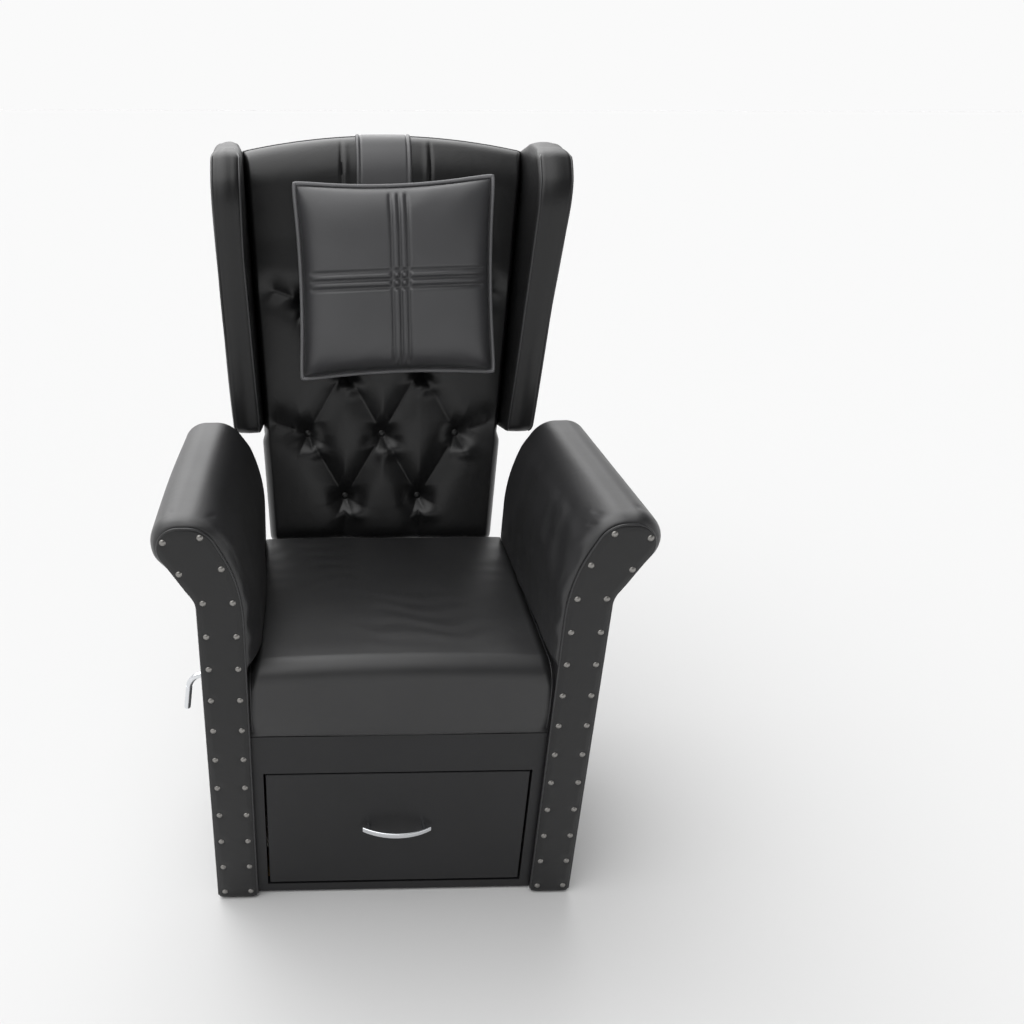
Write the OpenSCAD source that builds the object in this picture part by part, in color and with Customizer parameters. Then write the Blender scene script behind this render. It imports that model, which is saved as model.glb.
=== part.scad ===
// Reclining wing-back chair for foot care, with scroll arms, a foot drawer and a loose head pillow.
// Millimetres, +Z up. The chair faces -Y, and its origin is on the floor under the middle of its box.

/* [Base] */
// Width across the outer faces of the two arms
body_w = 630; // [600:5:680]
// Depth of the base, from the arm facings to the rear of the arms
body_d = 450; // [440:5:500]
// Thickness of one arm, from the outer face to the seat bay
arm_t = 68; // [64:1:74]
// Height of the top of the arm facings
arm_h = 742; // [715:1:770]
// Height of the line where the seat meets the drawer cabinet
seat_line_z = 353; // [348:1:360]
// Height of the crown of the seat
seat_z = 500; // [485:1:520]
// Thickness of the upright boards of the drawer cabinet
board_t = 15; // [12:0.5:18]
// Thickness of the arm facing boards
facing_t = 12; // [9:0.5:15]
// Height of the plastic glides under the arms
glide_h = 5; // [3:0.5:8]

/* [Arms] */
// Radius of the inner part of the scroll
scroll_r = 46; // [42:1:50]
// Radius of the outer lip of the scroll
lip_r = 36; // [32:1:40]
// Width of the flat between the two scroll radii
scroll_flat = 13.5; // [10:0.5:18]
// How far the inner scroll centre lies outside the outer arm face
scroll_out = 7; // [4:1:10]
// Slope of the underside of the lip from the vertical, in degrees
lip_slope = 36; // [32:1:40]
// Slope of the inner side below the scroll, in degrees
arm_rake = 25; // [21:1:26]
// Radius of the hollow under the lip
hollow_r = 40; // [32:1:48]
// Radius where the inner side turns upright
inner_r = 300; // [260:5:320]
// How far the padded roll swells past its facing
roll_bulge = 9; // [6:1:12]
// How far the pad swells inward over the seat
side_bulge = 11.5; // [8:0.5:11.5]
// Number of nails round one facing
nail_count = 26; // [20:1:32]
// Diameter of a nail head
nail_d = 10.4; // [8:0.2:12]

/* [Drawer] */
// Width of the uprights of the front frame
stile_w = 19.2; // [17:0.2:24]
// Height of the top rail of the front frame
top_rail_h = 77; // [70:1:90]
// Height of the bottom rail of the front frame
low_rail_h = 17; // [14:1:22]
// Gap round the drawer front
front_gap = 3.5; // [2:0.25:5]
// Space kept behind the closed drawer
drawer_rear_gap = 25; // [20:1:40]
// Height of the drawer sides
drawer_side_h = 190; // [150:5:200]
// Spacing of the two handle screws
handle_pitch = 96; // [80:1:110]

/* [Backrest] */
// Lean of the backrest from the vertical, in degrees
lean = 12; // [10:0.5:14]
// Length of the backrest along its lean, without the arch
back_l = 779; // [732:1:812]
// Rise of the arched top edge
back_arch = 28; // [20:1:36]
// Half width of the backrest at its bottom
back_low_w = 226; // [220:1:230]
// Half width of the backrest at its top
back_top_w = 270; // [262:1:276]
// Thickness of the tufted cushion, without its crown
cushion_t = 60; // [55:1:70]
// Crown of the tufted cushion
cushion_crown = 14; // [8:1:18]
// Depth of the tufts at their buttons
tuft_depth = 26; // [16:1:30]
// Distance between neighbouring buttons of one row
tuft_w = 150; // [140:1:156]
// Distance between two rows of buttons
tuft_h = 130; // [120:1:135]
// Thickness of a wing
wing_t = 54; // [48:1:60]
// Reach of a wing in front of the backrest at its widest
wing_reach = 150; // [130:1:165]
// Reach of a wing in front of the backrest at its bottom
wing_low_reach = 58; // [45:1:66]
// Recline travel of the backrest, in degrees
recline = 35; // [30:1:36]

/* [Pillow] */
// Width of the head pillow
pillow_w = 380; // [360:2:400]
// Height of the head pillow
pillow_h = 366; // [340:2:380]
// Thickness of the head pillow at its middle
pillow_t = 74; // [60:1:84]
// Width of the strap that carries the pillow
strap_w = 106; // [90:1:116]
// Thickness of the strap
strap_t = 3; // [2:0.25:4]

/* [Mechanism] */
// Radius of the recline crank
crank_r = 62; // [56:1:64]
// Diameter of the recline pivot bolts and of the crank pin
pivot_d = 10; // [8:0.5:11]
// Diameter of the gas spring cylinder
cylinder_d = 28; // [24:1:29]
// Diameter of the gas spring rod
rod_d = 10; // [8:0.5:11]
// Diameter of the lever rod
lever_d = 12; // [10:0.5:13]
// Running clearance on the radius of every turning or sliding metal pair
run_gap = 0.05; // [0.03:0.01:0.08]

/* [Hidden] */

// Fine and coarse facets for round surfaces
$fn = 48;
hole_fn = 32;
// Overrun of a cut past the face it starts from
cut = 1;
// Gap between upholstery and its neighbours, and between fixed boards
pad_gap = 0.3;
// Colours, as the photograph shows them
leather_col = "#2b2b2d";
leather_light_col = "#3a3a3c";
board_col = "#b8935f";
steel_col = "#8d9094";
chrome_col = "#d6d8da";
cylinder_col = "#3b3d40";
nylon_col = "#e8e6df";
nail_col = "#a7a49d";

// How far behind the base the foot of the backrest and its pivot lie,
// and how far the backrest reaches below the crown of the seat
back_gap = 47.5;
pivot_reach = 70;
back_foot_drop = 45;
// Room round the lever rod in the boards it passes
lever_room = 4;

// Places worked out from the driving sizes
arm_out = body_w / 2;
arm_in = arm_out - arm_t;
bay_w = arm_in - pad_gap;
side_x = bay_w - board_t;
opening_half = bay_w - stile_w;
opening_top = seat_line_z - top_rail_h;
opening_low = glide_h + low_rail_h;
frame_t = 18;
frame_back = 11;
frame_rear = frame_back + frame_t;
handle_rise = 28;
seat_rail_h = 42;
seat_level = seat_line_z + seat_rail_h;
back_foot_y = body_d + back_gap;
back_foot_z = seat_z - back_foot_drop;
back_board_t = 12;
rail_depth = 30;
rear_panel_t = 15;
back_depth = cushion_t + back_board_t + rail_depth + rear_panel_t;
rear_reach = back_foot_y + (back_l + back_arch) * sin(lean) + (back_depth + strap_t) * cos(lean);
mid_y = (rear_reach - (handle_rise - frame_back)) / 2;

// Recline pivot and crank. The gas spring lies level at the height of the crank pin,
// and its front trunnions sit half way down the small rise and fall of that pin.
pivot_y = body_d + pivot_reach;
pivot_z = seat_level;
crank_half_turn = recline / 2;
crank_y = pivot_y + crank_r * sin(crank_half_turn);
crank_z = pivot_z - crank_r * cos(crank_half_turn);
crank_rise = crank_r * (1 - cos(crank_half_turn));
gas_z = crank_z - crank_rise / 2;

// Lever place, which the left pad, frame and cabinet side share
lever_y = 200;
cam_drop = 12;
lever_z = gas_z + cam_drop;
lever_hole_r = lever_d / 2 + lever_room;

// Moves the chair from its drawing place, facings on Y = 0, to the middle of its box
module placed() { translate([0, -mid_y, 0]) children(); }

// Copies a right-hand piece to the left
module on_left() { mirror([1, 0, 0]) children(); }

// Stands a drawn outline in the XZ plane and gives it a thickness along +Y from y
module upright(y, t) { translate([0, y + t, 0]) rotate([90, 0, 0]) linear_extrude(t) children(); }

// Stands a drawn outline, given as Y and Z, in the YZ plane with a thickness along +X from x
module sideways(x, t) { translate([x, 0, 0]) rotate([90, 0, 90]) linear_extrude(t) children(); }

// A box from its low corner to its high corner
module span(lo, hi) { translate(lo) cube(hi - lo); }

// A round bar along X
module bar_x(x0, x1, y, z, r) { translate([x0, y, z]) rotate([0, 90, 0]) cylinder(r = r, h = x1 - x0); }

// A round bar along Y
module bar_y(y0, y1, x, z, r) { translate([x, y0, z]) rotate([-90, 0, 0]) cylinder(r = r, h = y1 - y0); }

// A smooth step from 0 at a to 1 at b
function step01(a, b, v) = let (t = max(0, min(1, (v - a) / (b - a)))) t * t * (3 - 2 * t);

// Points and outward directions along an arc; side -1 makes the outside the hollow one
function arc(c, r, a, b, n, side = 1) = [for (i = [0 : n]) let (t = a + (b - a) * i / n)
    [c[0] + r * cos(t), c[1] + r * sin(t), side * cos(t), side * sin(t)]];

// Triangles that close a ring of n points, as a strip between its halves or as a fan about one point
function strip_cap(n) = [for (i = [0 : floor(n / 2) - 1]) each
    let (a = [[i, i + 1, n - 1 - i]], b = [[i + 1, n - 2 - i, n - 1 - i]]) i + 1 < n - 2 - i ? concat(a, b) : a];
function fan_cap(n, hub) = [for (k = [1 : n - 2]) [hub, (hub + k) % n, (hub + k + 1) % n]];

// Triangles of a tube of m rings with n points each, whose ends are closed by the triangles of cap
function tube_faces(m, n, cap) = concat(
    [for (j = [0 : m - 2], i = [0 : n - 1]) each
        let (a = j * n + i, b = j * n + (i + 1) % n) [[a, b, a + n], [b, b + n, a + n]]],
    [for (t = cap) [t[2], t[1], t[0]]],
    [for (t = cap) [for (i = t) (m - 1) * n + i]]);

// Length of a chain of points up to point k
function run_to(p, k) = k <= 0 ? 0 : run_to(p, k - 1) + norm(p[k] - p[k - 1]);
// The point at length s along a chain
function at_run(p, s, k = 1) = let (d = norm(p[k] - p[k - 1]))
    s <= d || k == len(p) - 1 ? p[k - 1] + (p[k] - p[k - 1]) * s / d : at_run(p, s - d, k + 1);

// Scroll arm outline
scroll_c = [arm_out + scroll_out, arm_h - scroll_r];
lip_c = [scroll_c[0] + scroll_flat, arm_h - lip_r];
lip_n = [cos(lip_slope), -sin(lip_slope)];
lip_end = lip_c + lip_r * lip_n;
hollow_z = lip_end[1] + ((arm_out + hollow_r - lip_end[0]) * lip_n[0] - hollow_r) / -lip_n[1];
rake_top = scroll_c + scroll_r * [-cos(arm_rake), sin(arm_rake)];
inner_z = rake_top[1] - inner_r * sin(arm_rake)
    - (rake_top[0] - arm_in - inner_r * (1 - cos(arm_rake))) / tan(arm_rake);
scroll_turns = 8;
hollow_turns = 5;
inner_turns = 4;

// The right arm's outline from its outer foot over the scroll, and on down its inner side,
// each point with its outward direction
function arm_outer(foot) = concat(
    [[arm_out, foot, 1, 0]],
    arc([arm_out + hollow_r, hollow_z], hollow_r, 180, 180 - lip_slope, hollow_turns, -1),
    arc(lip_c, lip_r, -lip_slope, 90, scroll_turns),
    arc(scroll_c, scroll_r, 90, 180 - arm_rake, scroll_turns));
function arm_inner() = arc([arm_in + inner_r, inner_z], inner_r, 180 - arm_rake, 180, inner_turns);
function arm_outline(foot) = concat(arm_outer(foot), arm_inner(), [[arm_in, foot, -1, 0]]);

// The outline moved outward by d
function moved(pts, d) = [for (p = pts) [p[0] + p[2] * d, p[1] + p[3] * d]];

// Arm pads: a padded cover over the side frame, which stands in its slot
skin_t = 15;
slot_rise = 5;
slot_top = hollow_z + slot_rise;
pad_foot = glide_h;
// Where the rings of the pad lie from each end, and how far each is drawn in
pad_edge_r = 14;
pad_ring_shares = [0, 0.12, 0.45, 1];
pad_inset_shares = [0.5, 0.2, 0.04, 0];

// The inner side starts to swell a little under the crown of the seat
side_low = seat_z - 10;
side_high = seat_z + 20;
side_levels = [side_high, (side_low + side_high) / 2, side_low, pad_foot];

function pad_ring(y, inset) = concat(
    [for (q = arm_outer(pad_foot))
        let (d = roll_bulge * step01(hollow_z, scroll_c[1], q[1]) - inset)
        [q[0] + q[2] * d, y, q[1] + q[3] * d]],
    [for (q = concat(arm_inner(), [for (z = side_levels) [arm_in, z, -1, 0]]))
        let (d = side_bulge * step01(side_low, side_high, q[1]) - inset)
        [q[0] + q[2] * d, y, q[1] + q[3] * d]]);

module arm_pad_shape() {
    n = len(pad_ring_shares) - 1;
    rings = concat(
        [for (i = [0 : n]) pad_ring(facing_t + pad_edge_r * pad_ring_shares[i], pad_edge_r * pad_inset_shares[i])],
        [for (i = [n : -1 : 0]) pad_ring(body_d - pad_edge_r * pad_ring_shares[i], pad_edge_r * pad_inset_shares[i])]);
    count = len(rings[0]);
    difference() {
        polyhedron(points = [for (r = rings) each r], faces = tube_faces(len(rings), count, strip_cap(count)));
        span([arm_in + skin_t, facing_t - cut, pad_foot - cut], [arm_out - skin_t, body_d + cut, slot_top]);
        span([arm_in - cut, facing_t - cut, pad_foot - cut], [arm_in + skin_t + cut, body_d + cut, seat_level]);
    }
}

module lever_hole() { bar_x(-arm_out - cut, -side_x + cut, lever_y, lever_z, lever_hole_r, $fn = hole_fn); }

module arm_pad_right() { placed() color(leather_light_col) arm_pad_shape(); }
module arm_pad_left() {
    placed() color(leather_light_col) difference() {
        on_left() arm_pad_shape();
        lever_hole();
    }
}

// Side frames: a board in the arm pad, with a cleat board against the cabinet
frame_rear_in = 4;
frame_end = body_d - frame_rear_in;
bolt_r = 4;
bolt_hole_r = 4.2;
bolt_places_share = [[0.16, 0.16], [0.16, 0.84], [0.82, 0.16], [0.82, 0.84]];
bolt_len = 52;
bolt_head_r = 8;
bolt_head_t = 4;
nut_r = 6.5;
function bolt_at(s) = [frame_rear + s[1] * (body_d - rear_panel_t - frame_rear),
    glide_h + s[0] * (seat_level - glide_h)];

module bolt_holes(x0, x1) {
    for (s = bolt_places_share) bar_x(x0, x1, bolt_at(s)[0], bolt_at(s)[1], bolt_hole_r);
}

module side_frame_shape() {
    difference() {
        union() {
            span([arm_in + skin_t + pad_gap, facing_t, glide_h],
                [arm_out - skin_t - pad_gap, frame_end, slot_top - pad_gap]);
            span([arm_in, facing_t, glide_h],
                [arm_in + skin_t + cut, frame_end, seat_level - pad_gap]);
        }
        bolt_holes(arm_in - cut, arm_in + bolt_len);
    }
}

module side_frame_right() { placed() color(board_col) side_frame_shape(); }
module side_frame_left() {
    placed() color(board_col) difference() {
        on_left() side_frame_shape();
        lever_hole();
    }
}

// Facings and their nails
module arm_facing_shape() {
    upright(0, facing_t) polygon([for (p = arm_outline(glide_h)) [p[0], p[1]]]);
}
module arm_facing_right() { placed() color(leather_col) arm_facing_shape(); }
module arm_facing_left() { placed() color(leather_col) on_left() arm_facing_shape(); }

nail_inset = 11;
nail_rise = 2.8;
nail_shank_r = 0.8;
nail_shank_l = 8;
nail_foot = 12;

module nail() {
    r = (nail_d * nail_d / 4 + nail_rise * nail_rise) / (2 * nail_rise);
    intersection() {
        translate([0, r - nail_rise, 0]) sphere(r = r);
        bar_y(-nail_rise - cut, 0, 0, 0, nail_d);
    }
    bar_y(0, nail_shank_l, 0, 0, nail_shank_r);
}

module facing_nails_shape() {
    path = moved(arm_outline(glide_h + nail_foot), -nail_inset);
    total = run_to(path, len(path) - 1);
    for (i = [0 : nail_count - 1]) {
        p = at_run(path, total * i / (nail_count - 1));
        translate([p[0], 0, p[1]]) nail();
    }
}
module facing_nails_right() { placed() color(nail_col) facing_nails_shape(); }
module facing_nails_left() { placed() color(nail_col) on_left() facing_nails_shape(); }

// Cabinet between the arms
cabinet_floor_t = 9;
cabinet_floor_z = 8;
deck_t = 12;

module cabinet_side_shape() {
    difference() {
        span([side_x, frame_rear, glide_h], [bay_w, body_d - rear_panel_t, seat_level]);
        bolt_holes(side_x - cut, bay_w + cut);
    }
}
module cabinet_side_right() { placed() color(board_col) cabinet_side_shape(); }
module cabinet_side_left() {
    placed() color(board_col) difference() {
        on_left() cabinet_side_shape();
        lever_hole();
    }
}

module cabinet_bottom() {
    placed() color(board_col) span([-side_x, frame_rear, cabinet_floor_z],
        [side_x, body_d - rear_panel_t, cabinet_floor_z + cabinet_floor_t]);
}

module front_frame() {
    placed() color(leather_col) difference() {
        span([-bay_w, frame_back, glide_h], [bay_w, frame_rear, seat_line_z]);
        span([-opening_half, frame_back - cut, opening_low], [opening_half, frame_rear + cut, opening_top]);
    }
}

// The gas spring passes the rear panel through a slot
slot_half = 20;
slot_low = gas_z - slot_half;
slot_high = gas_z + slot_half;
bracket_x = 150;
bracket_bolt_pitch = 52;
// How far below the pivot the two bracket bolts lie
bracket_bolt_drops = [bracket_bolt_pitch / 2, bracket_bolt_pitch * 3 / 2];

module rear_panel() {
    placed() color(leather_col) difference() {
        span([-bay_w, body_d - rear_panel_t, glide_h], [bay_w, body_d, seat_level]);
        span([-slot_half, body_d - rear_panel_t - cut, slot_low], [slot_half, body_d + cut, slot_high]);
        for (x = [-bracket_x, bracket_x], z = bracket_bolt_drops)
            bar_y(body_d - rear_panel_t - cut, body_d + cut, x, pivot_z - z, bolt_hole_r);
    }
}

module frame_bolts() {
    placed() color(steel_col) for (m = [0, 1]) mirror([m, 0, 0]) for (s = bolt_places_share) {
        p = bolt_at(s);
        bar_x(side_x, arm_in + bolt_len - board_t, p[0], p[1], bolt_r);
        bar_x(side_x - bolt_head_t, side_x, p[0], p[1], bolt_head_r);
    }
}

glide_r = 13;
glide_in = 34;
module floor_glides() {
    placed() color(nylon_col) for (x = [-1, 1], y = [glide_in, body_d - glide_in])
        translate([x * (arm_out - arm_t / 2), y, 0]) cylinder(r = glide_r, h = glide_h);
}

// Seat: front rail, deck and cushion
seat_rail_y = 20;

module seat_front_rail() {
    placed() color(board_col) span([-side_x, seat_rail_y, seat_line_z + pad_gap],
        [side_x, seat_rail_y + frame_t, seat_level]);
}

gas_bracket_w = 80;
gas_bracket_l = 64;
gas_bracket_front = 16;
gas_bracket_y = lever_y - gas_bracket_front;
gas_screw_in = 9;
screw_r = 2.5;

module at_gas_screws() {
    for (x = [-1, 1], y = [gas_screw_in, gas_bracket_l - gas_screw_in])
        translate([x * (gas_bracket_w / 2 - gas_screw_in), gas_bracket_y + y, 0]) children();
}

module gas_screw_holes(z, t) {
    at_gas_screws() translate([0, 0, z - cut]) cylinder(r = screw_r + run_gap, h = t + 2 * cut, $fn = hole_fn);
}

module seat_deck() {
    placed() color(board_col) difference() {
        span([-bay_w, seat_rail_y, seat_level], [bay_w, body_d - pad_gap, seat_level + deck_t]);
        gas_screw_holes(seat_level, deck_t);
    }
}

// Seat cushion, as rings of its side section along its width
seat_front_r = 38;
seat_rear_r = 16;
seat_crown = 11;
seat_half = bay_w - pad_gap;
seat_front_y = 8;
seat_rear_y = body_d - frame_rear_in;
// Swell of its front, roll of its sides and fall of its top towards its edges
seat_belly = 4;
seat_roll = 12;
seat_roll_share = 0.86;
seat_fall = 5;
seat_front_fall = 2;
seat_hem_in = 1;
seat_hem_h = 14;
// Shares of the depth and of the fall at which its top is drawn
seat_top_shares = [[0.24, 0], [0.33, 0.06], [0.42, 0.1], [0.52, 0], [0.62, -0.2], [0.72, -0.42], [0.8, -0.7]];
seat_ring_shares = [-1, -0.99, -0.955, -0.89, -0.8, -0.64, -0.48, -0.32, -0.16, 0,
    0.16, 0.32, 0.48, 0.64, 0.8, 0.89, 0.955, 0.99, 1];
seat_base_z = seat_level + deck_t + pad_gap;
seat_skirt_in = seat_rail_y - pad_gap;

function seat_ring(s) =
    let (q = abs(s),
        side = seat_roll * pow(step01(seat_roll_share, 1, q), 2),
        top = seat_z - seat_crown * q * q - side,
        front = seat_front_y - seat_belly * (1 - q * q) + side * seat_hem_in / seat_belly)
    [for (p = concat(
            [[seat_front_y + seat_hem_in, seat_line_z + pad_gap], [front + seat_hem_in, seat_line_z + seat_hem_h]],
            [[front, (seat_line_z + top) / 2]],
            [for (t = [180 : -15 : 90]) [front + seat_front_r * (1 + cos(t)),
                top - seat_front_fall - seat_front_r * (1 - sin(t))]],
            [for (k = seat_top_shares) [body_d * k[0], top + seat_fall * k[1]]],
            [for (t = [90 : -22.5 : 0]) [seat_rear_y - seat_rear_r * (1 - cos(t)),
                top - seat_fall - seat_rear_r * (1 - sin(t))]],
            [[seat_rear_y, seat_base_z], [seat_skirt_in, seat_base_z], [seat_skirt_in, seat_line_z + pad_gap]]))
        [s * seat_half, p[0], p[1]]];

module seat_cushion() {
    rings = [for (s = seat_ring_shares) seat_ring(s)];
    n = len(rings[0]);
    placed() color(leather_light_col)
        polyhedron(points = [for (r = rings) each r], faces = tube_faces(len(rings), n, fan_cap(n, n - 2)));
}

// Drawer
runner_space = 13;
drawer_half = side_x - runner_space;
drawer_side_t = 12;
drawer_low = 34;
drawer_front_gap = 1;
drawer_y = frame_rear + drawer_front_gap;
drawer_top = drawer_low + drawer_side_h;
panel_t = 6;
panel_up = 8;
groove_d = 5;
groove_gap = 0.15;
drawer_in = drawer_half - drawer_side_t;
drawer_end = body_d - rear_panel_t - drawer_rear_gap;

module drawer_front() {
    placed() color(leather_col) difference() {
        span([-opening_half + front_gap, frame_back, opening_low + front_gap],
            [opening_half - front_gap, drawer_y, opening_top - front_gap]);
        for (x = [-1, 1]) bar_y(frame_back - cut, drawer_y + cut, x * handle_pitch / 2, handle_z, screw_r + run_gap);
    }
}

module drawer_side_shape() {
    difference() {
        span([drawer_in, drawer_y, drawer_low], [drawer_half, drawer_end, drawer_top]);
        span([drawer_in - cut, drawer_y - cut, drawer_low + panel_up],
            [drawer_in + groove_d, drawer_end + cut, drawer_low + panel_up + panel_t]);
    }
}
module drawer_side_right() { placed() color(board_col) drawer_side_shape(); }
module drawer_side_left() { placed() color(board_col) on_left() drawer_side_shape(); }

module drawer_inner_front() {
    placed() color(board_col) difference() {
        span([-drawer_in, drawer_y, drawer_low], [drawer_in, drawer_y + drawer_side_t, drawer_top]);
        span([-drawer_in - cut, drawer_y + drawer_side_t - groove_d, drawer_low + panel_up],
            [drawer_in + cut, drawer_y + drawer_side_t + cut, drawer_low + panel_up + panel_t]);
        for (x = [-1, 1])
            bar_y(drawer_y - cut, drawer_y + drawer_side_t + cut, x * handle_pitch / 2, handle_z, screw_r + run_gap);
    }
}
// The back stands on the bottom panel, which slides in under it
module drawer_back() {
    placed() color(board_col) span([-drawer_in, drawer_end - drawer_side_t, drawer_low + panel_up + panel_t],
        [drawer_in, drawer_end, drawer_top]);
}
module drawer_bottom() {
    e = drawer_in + groove_d - groove_gap;
    placed() color(board_col) span(
        [-e, drawer_y + drawer_side_t - groove_d + groove_gap, drawer_low + panel_up + groove_gap],
        [e, drawer_end, drawer_low + panel_up + panel_t - groove_gap]);
}

// Bow handle: a capsule section swung round a large radius, on two feet
handle_up = 9;
handle_z = (opening_low + opening_top) / 2 + handle_up;
screw_head_t = 2.4;
bow_half = 58;
bow_rise = 16;
bow_h = 10;
bow_t = 4;
foot_r = 4;
bow_fn = 128;
bow_r = (bow_half * bow_half + bow_rise * bow_rise) / (2 * bow_rise);
bow_front = frame_back - handle_rise;
// Where the middle of the bow passes over its feet
bow_foot_y = bow_front + bow_t / 2 + bow_r - sqrt(bow_r * bow_r - handle_pitch * handle_pitch / 4);

module capsule(w, h) {
    square([w, h - w], center = true);
    for (s = [-1, 1]) translate([0, s * (h - w) / 2]) circle(d = w);
}

module drawer_handle() {
    turn = asin(bow_half / bow_r);
    placed() color(chrome_col) {
        difference() {
            union() {
                translate([0, bow_front + bow_t / 2 + bow_r, handle_z]) rotate([0, 0, -90 - turn])
                    rotate_extrude(angle = 2 * turn, $fn = bow_fn) translate([bow_r, 0]) capsule(bow_t, bow_h);
                for (x = [-1, 1]) bar_y(bow_foot_y, frame_back, x * handle_pitch / 2, handle_z, foot_r);
            }
            for (x = [-1, 1]) bar_y(bow_foot_y + bow_t / 2, frame_back + cut, x * handle_pitch / 2, handle_z, screw_r);
        }
    }
}

module handle_screws() {
    end = drawer_y + drawer_side_t;
    placed() color(steel_col) for (x = [-1, 1]) {
        bar_y(bow_foot_y + bow_t / 2, end + screw_head_t, x * handle_pitch / 2, handle_z, screw_r);
        bar_y(end, end + screw_head_t, x * handle_pitch / 2, handle_z, 2 * screw_r);
    }
}

// Roller runners: a channel with a front roller on the cabinet,
// and a rail with a rear roller on the drawer
steel_t = 1.2;
runner_z = 92;
channel_h = 28;
channel_w = 10.6;
roller_r = 11;
roller_w = 6;
roller_side_gap = 4;
roller_x = side_x - roller_side_gap;
axle_r = 2;
axle_head_r = 4;
axle_head_t = 0.9;
roller_gap = 0.3;
roller_in = 14;
channel_front_gap = 4;
channel_rear_gap = 6;
// Where the lower lip of the channel starts, behind the front roller
channel_lip_in = 30;
channel_y = frame_rear + channel_front_gap;
channel_end = body_d - rear_panel_t - channel_rear_gap;
roller_z = runner_z - channel_h / 2 + steel_t + roller_r + roller_gap;
front_roller_y = channel_y + roller_in;
rear_roller_y = drawer_end - roller_in;
rail_front_in = 2;
rail_side_gap = 1;
rail_top = roller_z + roller_r + roller_gap + steel_t;

module roller_axle(y, x_in, x_out) {
    bar_x(x_in, x_out, y, roller_z, axle_r);
}

module runner_channel_shape() {
    low = runner_z - channel_h / 2;
    high = runner_z + channel_h / 2;
    span([side_x - steel_t, channel_y, low], [side_x, channel_end, high]);
    for (z = [low, high - steel_t])
        span([side_x - channel_w, channel_y + (z == low ? channel_lip_in : 0), z],
            [side_x - steel_t, channel_end, z + steel_t]);
    head_x = roller_x - roller_w - roller_gap;
    roller_axle(front_roller_y, head_x - axle_head_t, side_x - steel_t);
    bar_x(head_x - axle_head_t, head_x, front_roller_y, roller_z, axle_head_r);
}
module runner_channel_right() { placed() color(nylon_col) runner_channel_shape(); }
module runner_channel_left() { placed() color(nylon_col) on_left() runner_channel_shape(); }

module runner_rail_shape() {
    rail_end = rear_roller_y - roller_r - rail_front_in;
    head_x = roller_x + roller_gap;
    span([drawer_half, drawer_y + rail_front_in, drawer_low], [drawer_half + steel_t, drawer_end, rail_top]);
    span([drawer_half + steel_t, drawer_y + rail_front_in, rail_top - steel_t],
        [opening_half - rail_side_gap, rail_end, rail_top]);
    roller_axle(rear_roller_y, drawer_half + steel_t, head_x + axle_head_t);
    bar_x(head_x, head_x + axle_head_t, rear_roller_y, roller_z, axle_head_r);
}
module runner_rail_right() { placed() color(nylon_col) runner_rail_shape(); }
module runner_rail_left() { placed() color(nylon_col) on_left() runner_rail_shape(); }

module roller_shape(y) {
    difference() {
        bar_x(roller_x - roller_w, roller_x, y, roller_z, roller_r);
        bar_x(roller_x - roller_w - cut, roller_x + cut, y, roller_z, axle_r + run_gap);
    }
}
module front_roller_right() { placed() color(nylon_col) roller_shape(front_roller_y); }
module front_roller_left() { placed() color(nylon_col) on_left() roller_shape(front_roller_y); }
module rear_roller_right() { placed() color(nylon_col) roller_shape(rear_roller_y); }
module rear_roller_left() { placed() color(nylon_col) on_left() roller_shape(rear_roller_y); }

// Recline hinge brackets on the rear panel
ear_t = 5;
web_t = 6;
boss_t = 12;
ear_gap = 0.5;
ear_r = 18;
bracket_plate_t = 5;
bracket_half = 28;
bracket_edge = 14;
bracket_low = pivot_z - bracket_bolt_drops[1] - bracket_edge;
bracket_high = seat_level + ear_r / 2;
ear_start = 30;
ear_slope = 35;
pivot_r = pivot_d / 2;
pivot_head_r = 9;

// A tapered ear from a foot line on the panel to a round end at a pivot
module ear_outline(low, high, at, r) {
    translate(at) circle(r = r);
    polygon([[body_d + bracket_plate_t, low], [body_d + bracket_plate_t, high],
        [at[0], at[1] + r], [at[0] + r * sin(ear_slope), at[1] - r * cos(ear_slope)]]);
}

module hinge_bracket_shape() {
    ear_in = boss_t / 2 + ear_gap;
    difference() {
        union() {
            span([bracket_x - bracket_half, body_d, bracket_low],
                [bracket_x + bracket_half, body_d + bracket_plate_t, bracket_high]);
            for (x = [bracket_x - ear_in - ear_t, bracket_x + ear_in])
                sideways(x, ear_t) ear_outline(bracket_low + ear_start, bracket_high, [pivot_y, pivot_z], ear_r);
        }
        bar_x(bracket_x - bracket_half, bracket_x + bracket_half, pivot_y, pivot_z, pivot_r + run_gap);
        for (z = bracket_bolt_drops)
            bar_y(body_d - cut, body_d + bracket_plate_t + cut, bracket_x, pivot_z - z, bolt_hole_r);
    }
}
module hinge_bracket_right() { placed() color(steel_col) hinge_bracket_shape(); }
module hinge_bracket_left() { placed() color(steel_col) on_left() hinge_bracket_shape(); }

module hinge_bracket_bolts() {
    placed() color(steel_col) for (x = [-bracket_x, bracket_x], z = bracket_bolt_drops) {
        bar_y(body_d - rear_panel_t - bolt_head_t, body_d + bracket_plate_t, x, pivot_z - z, bolt_r);
        bar_y(body_d - rear_panel_t - bolt_head_t, body_d - rear_panel_t, x, pivot_z - z, bolt_head_r);
        bar_y(body_d + bracket_plate_t, body_d + bracket_plate_t + bolt_head_t, x, pivot_z - z, nut_r);
    }
}

module pivot_bolts() {
    ear_out = boss_t / 2 + ear_gap + ear_t;
    placed() color(steel_col) for (x = [-bracket_x, bracket_x]) {
        bar_x(x - ear_out - bolt_head_t, x + ear_out + bolt_head_t, pivot_y, pivot_z, pivot_r);
        for (s = [-ear_out - bolt_head_t, ear_out])
            bar_x(x + s, x + s + bolt_head_t, pivot_y, pivot_z, pivot_head_r);
    }
}

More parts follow.
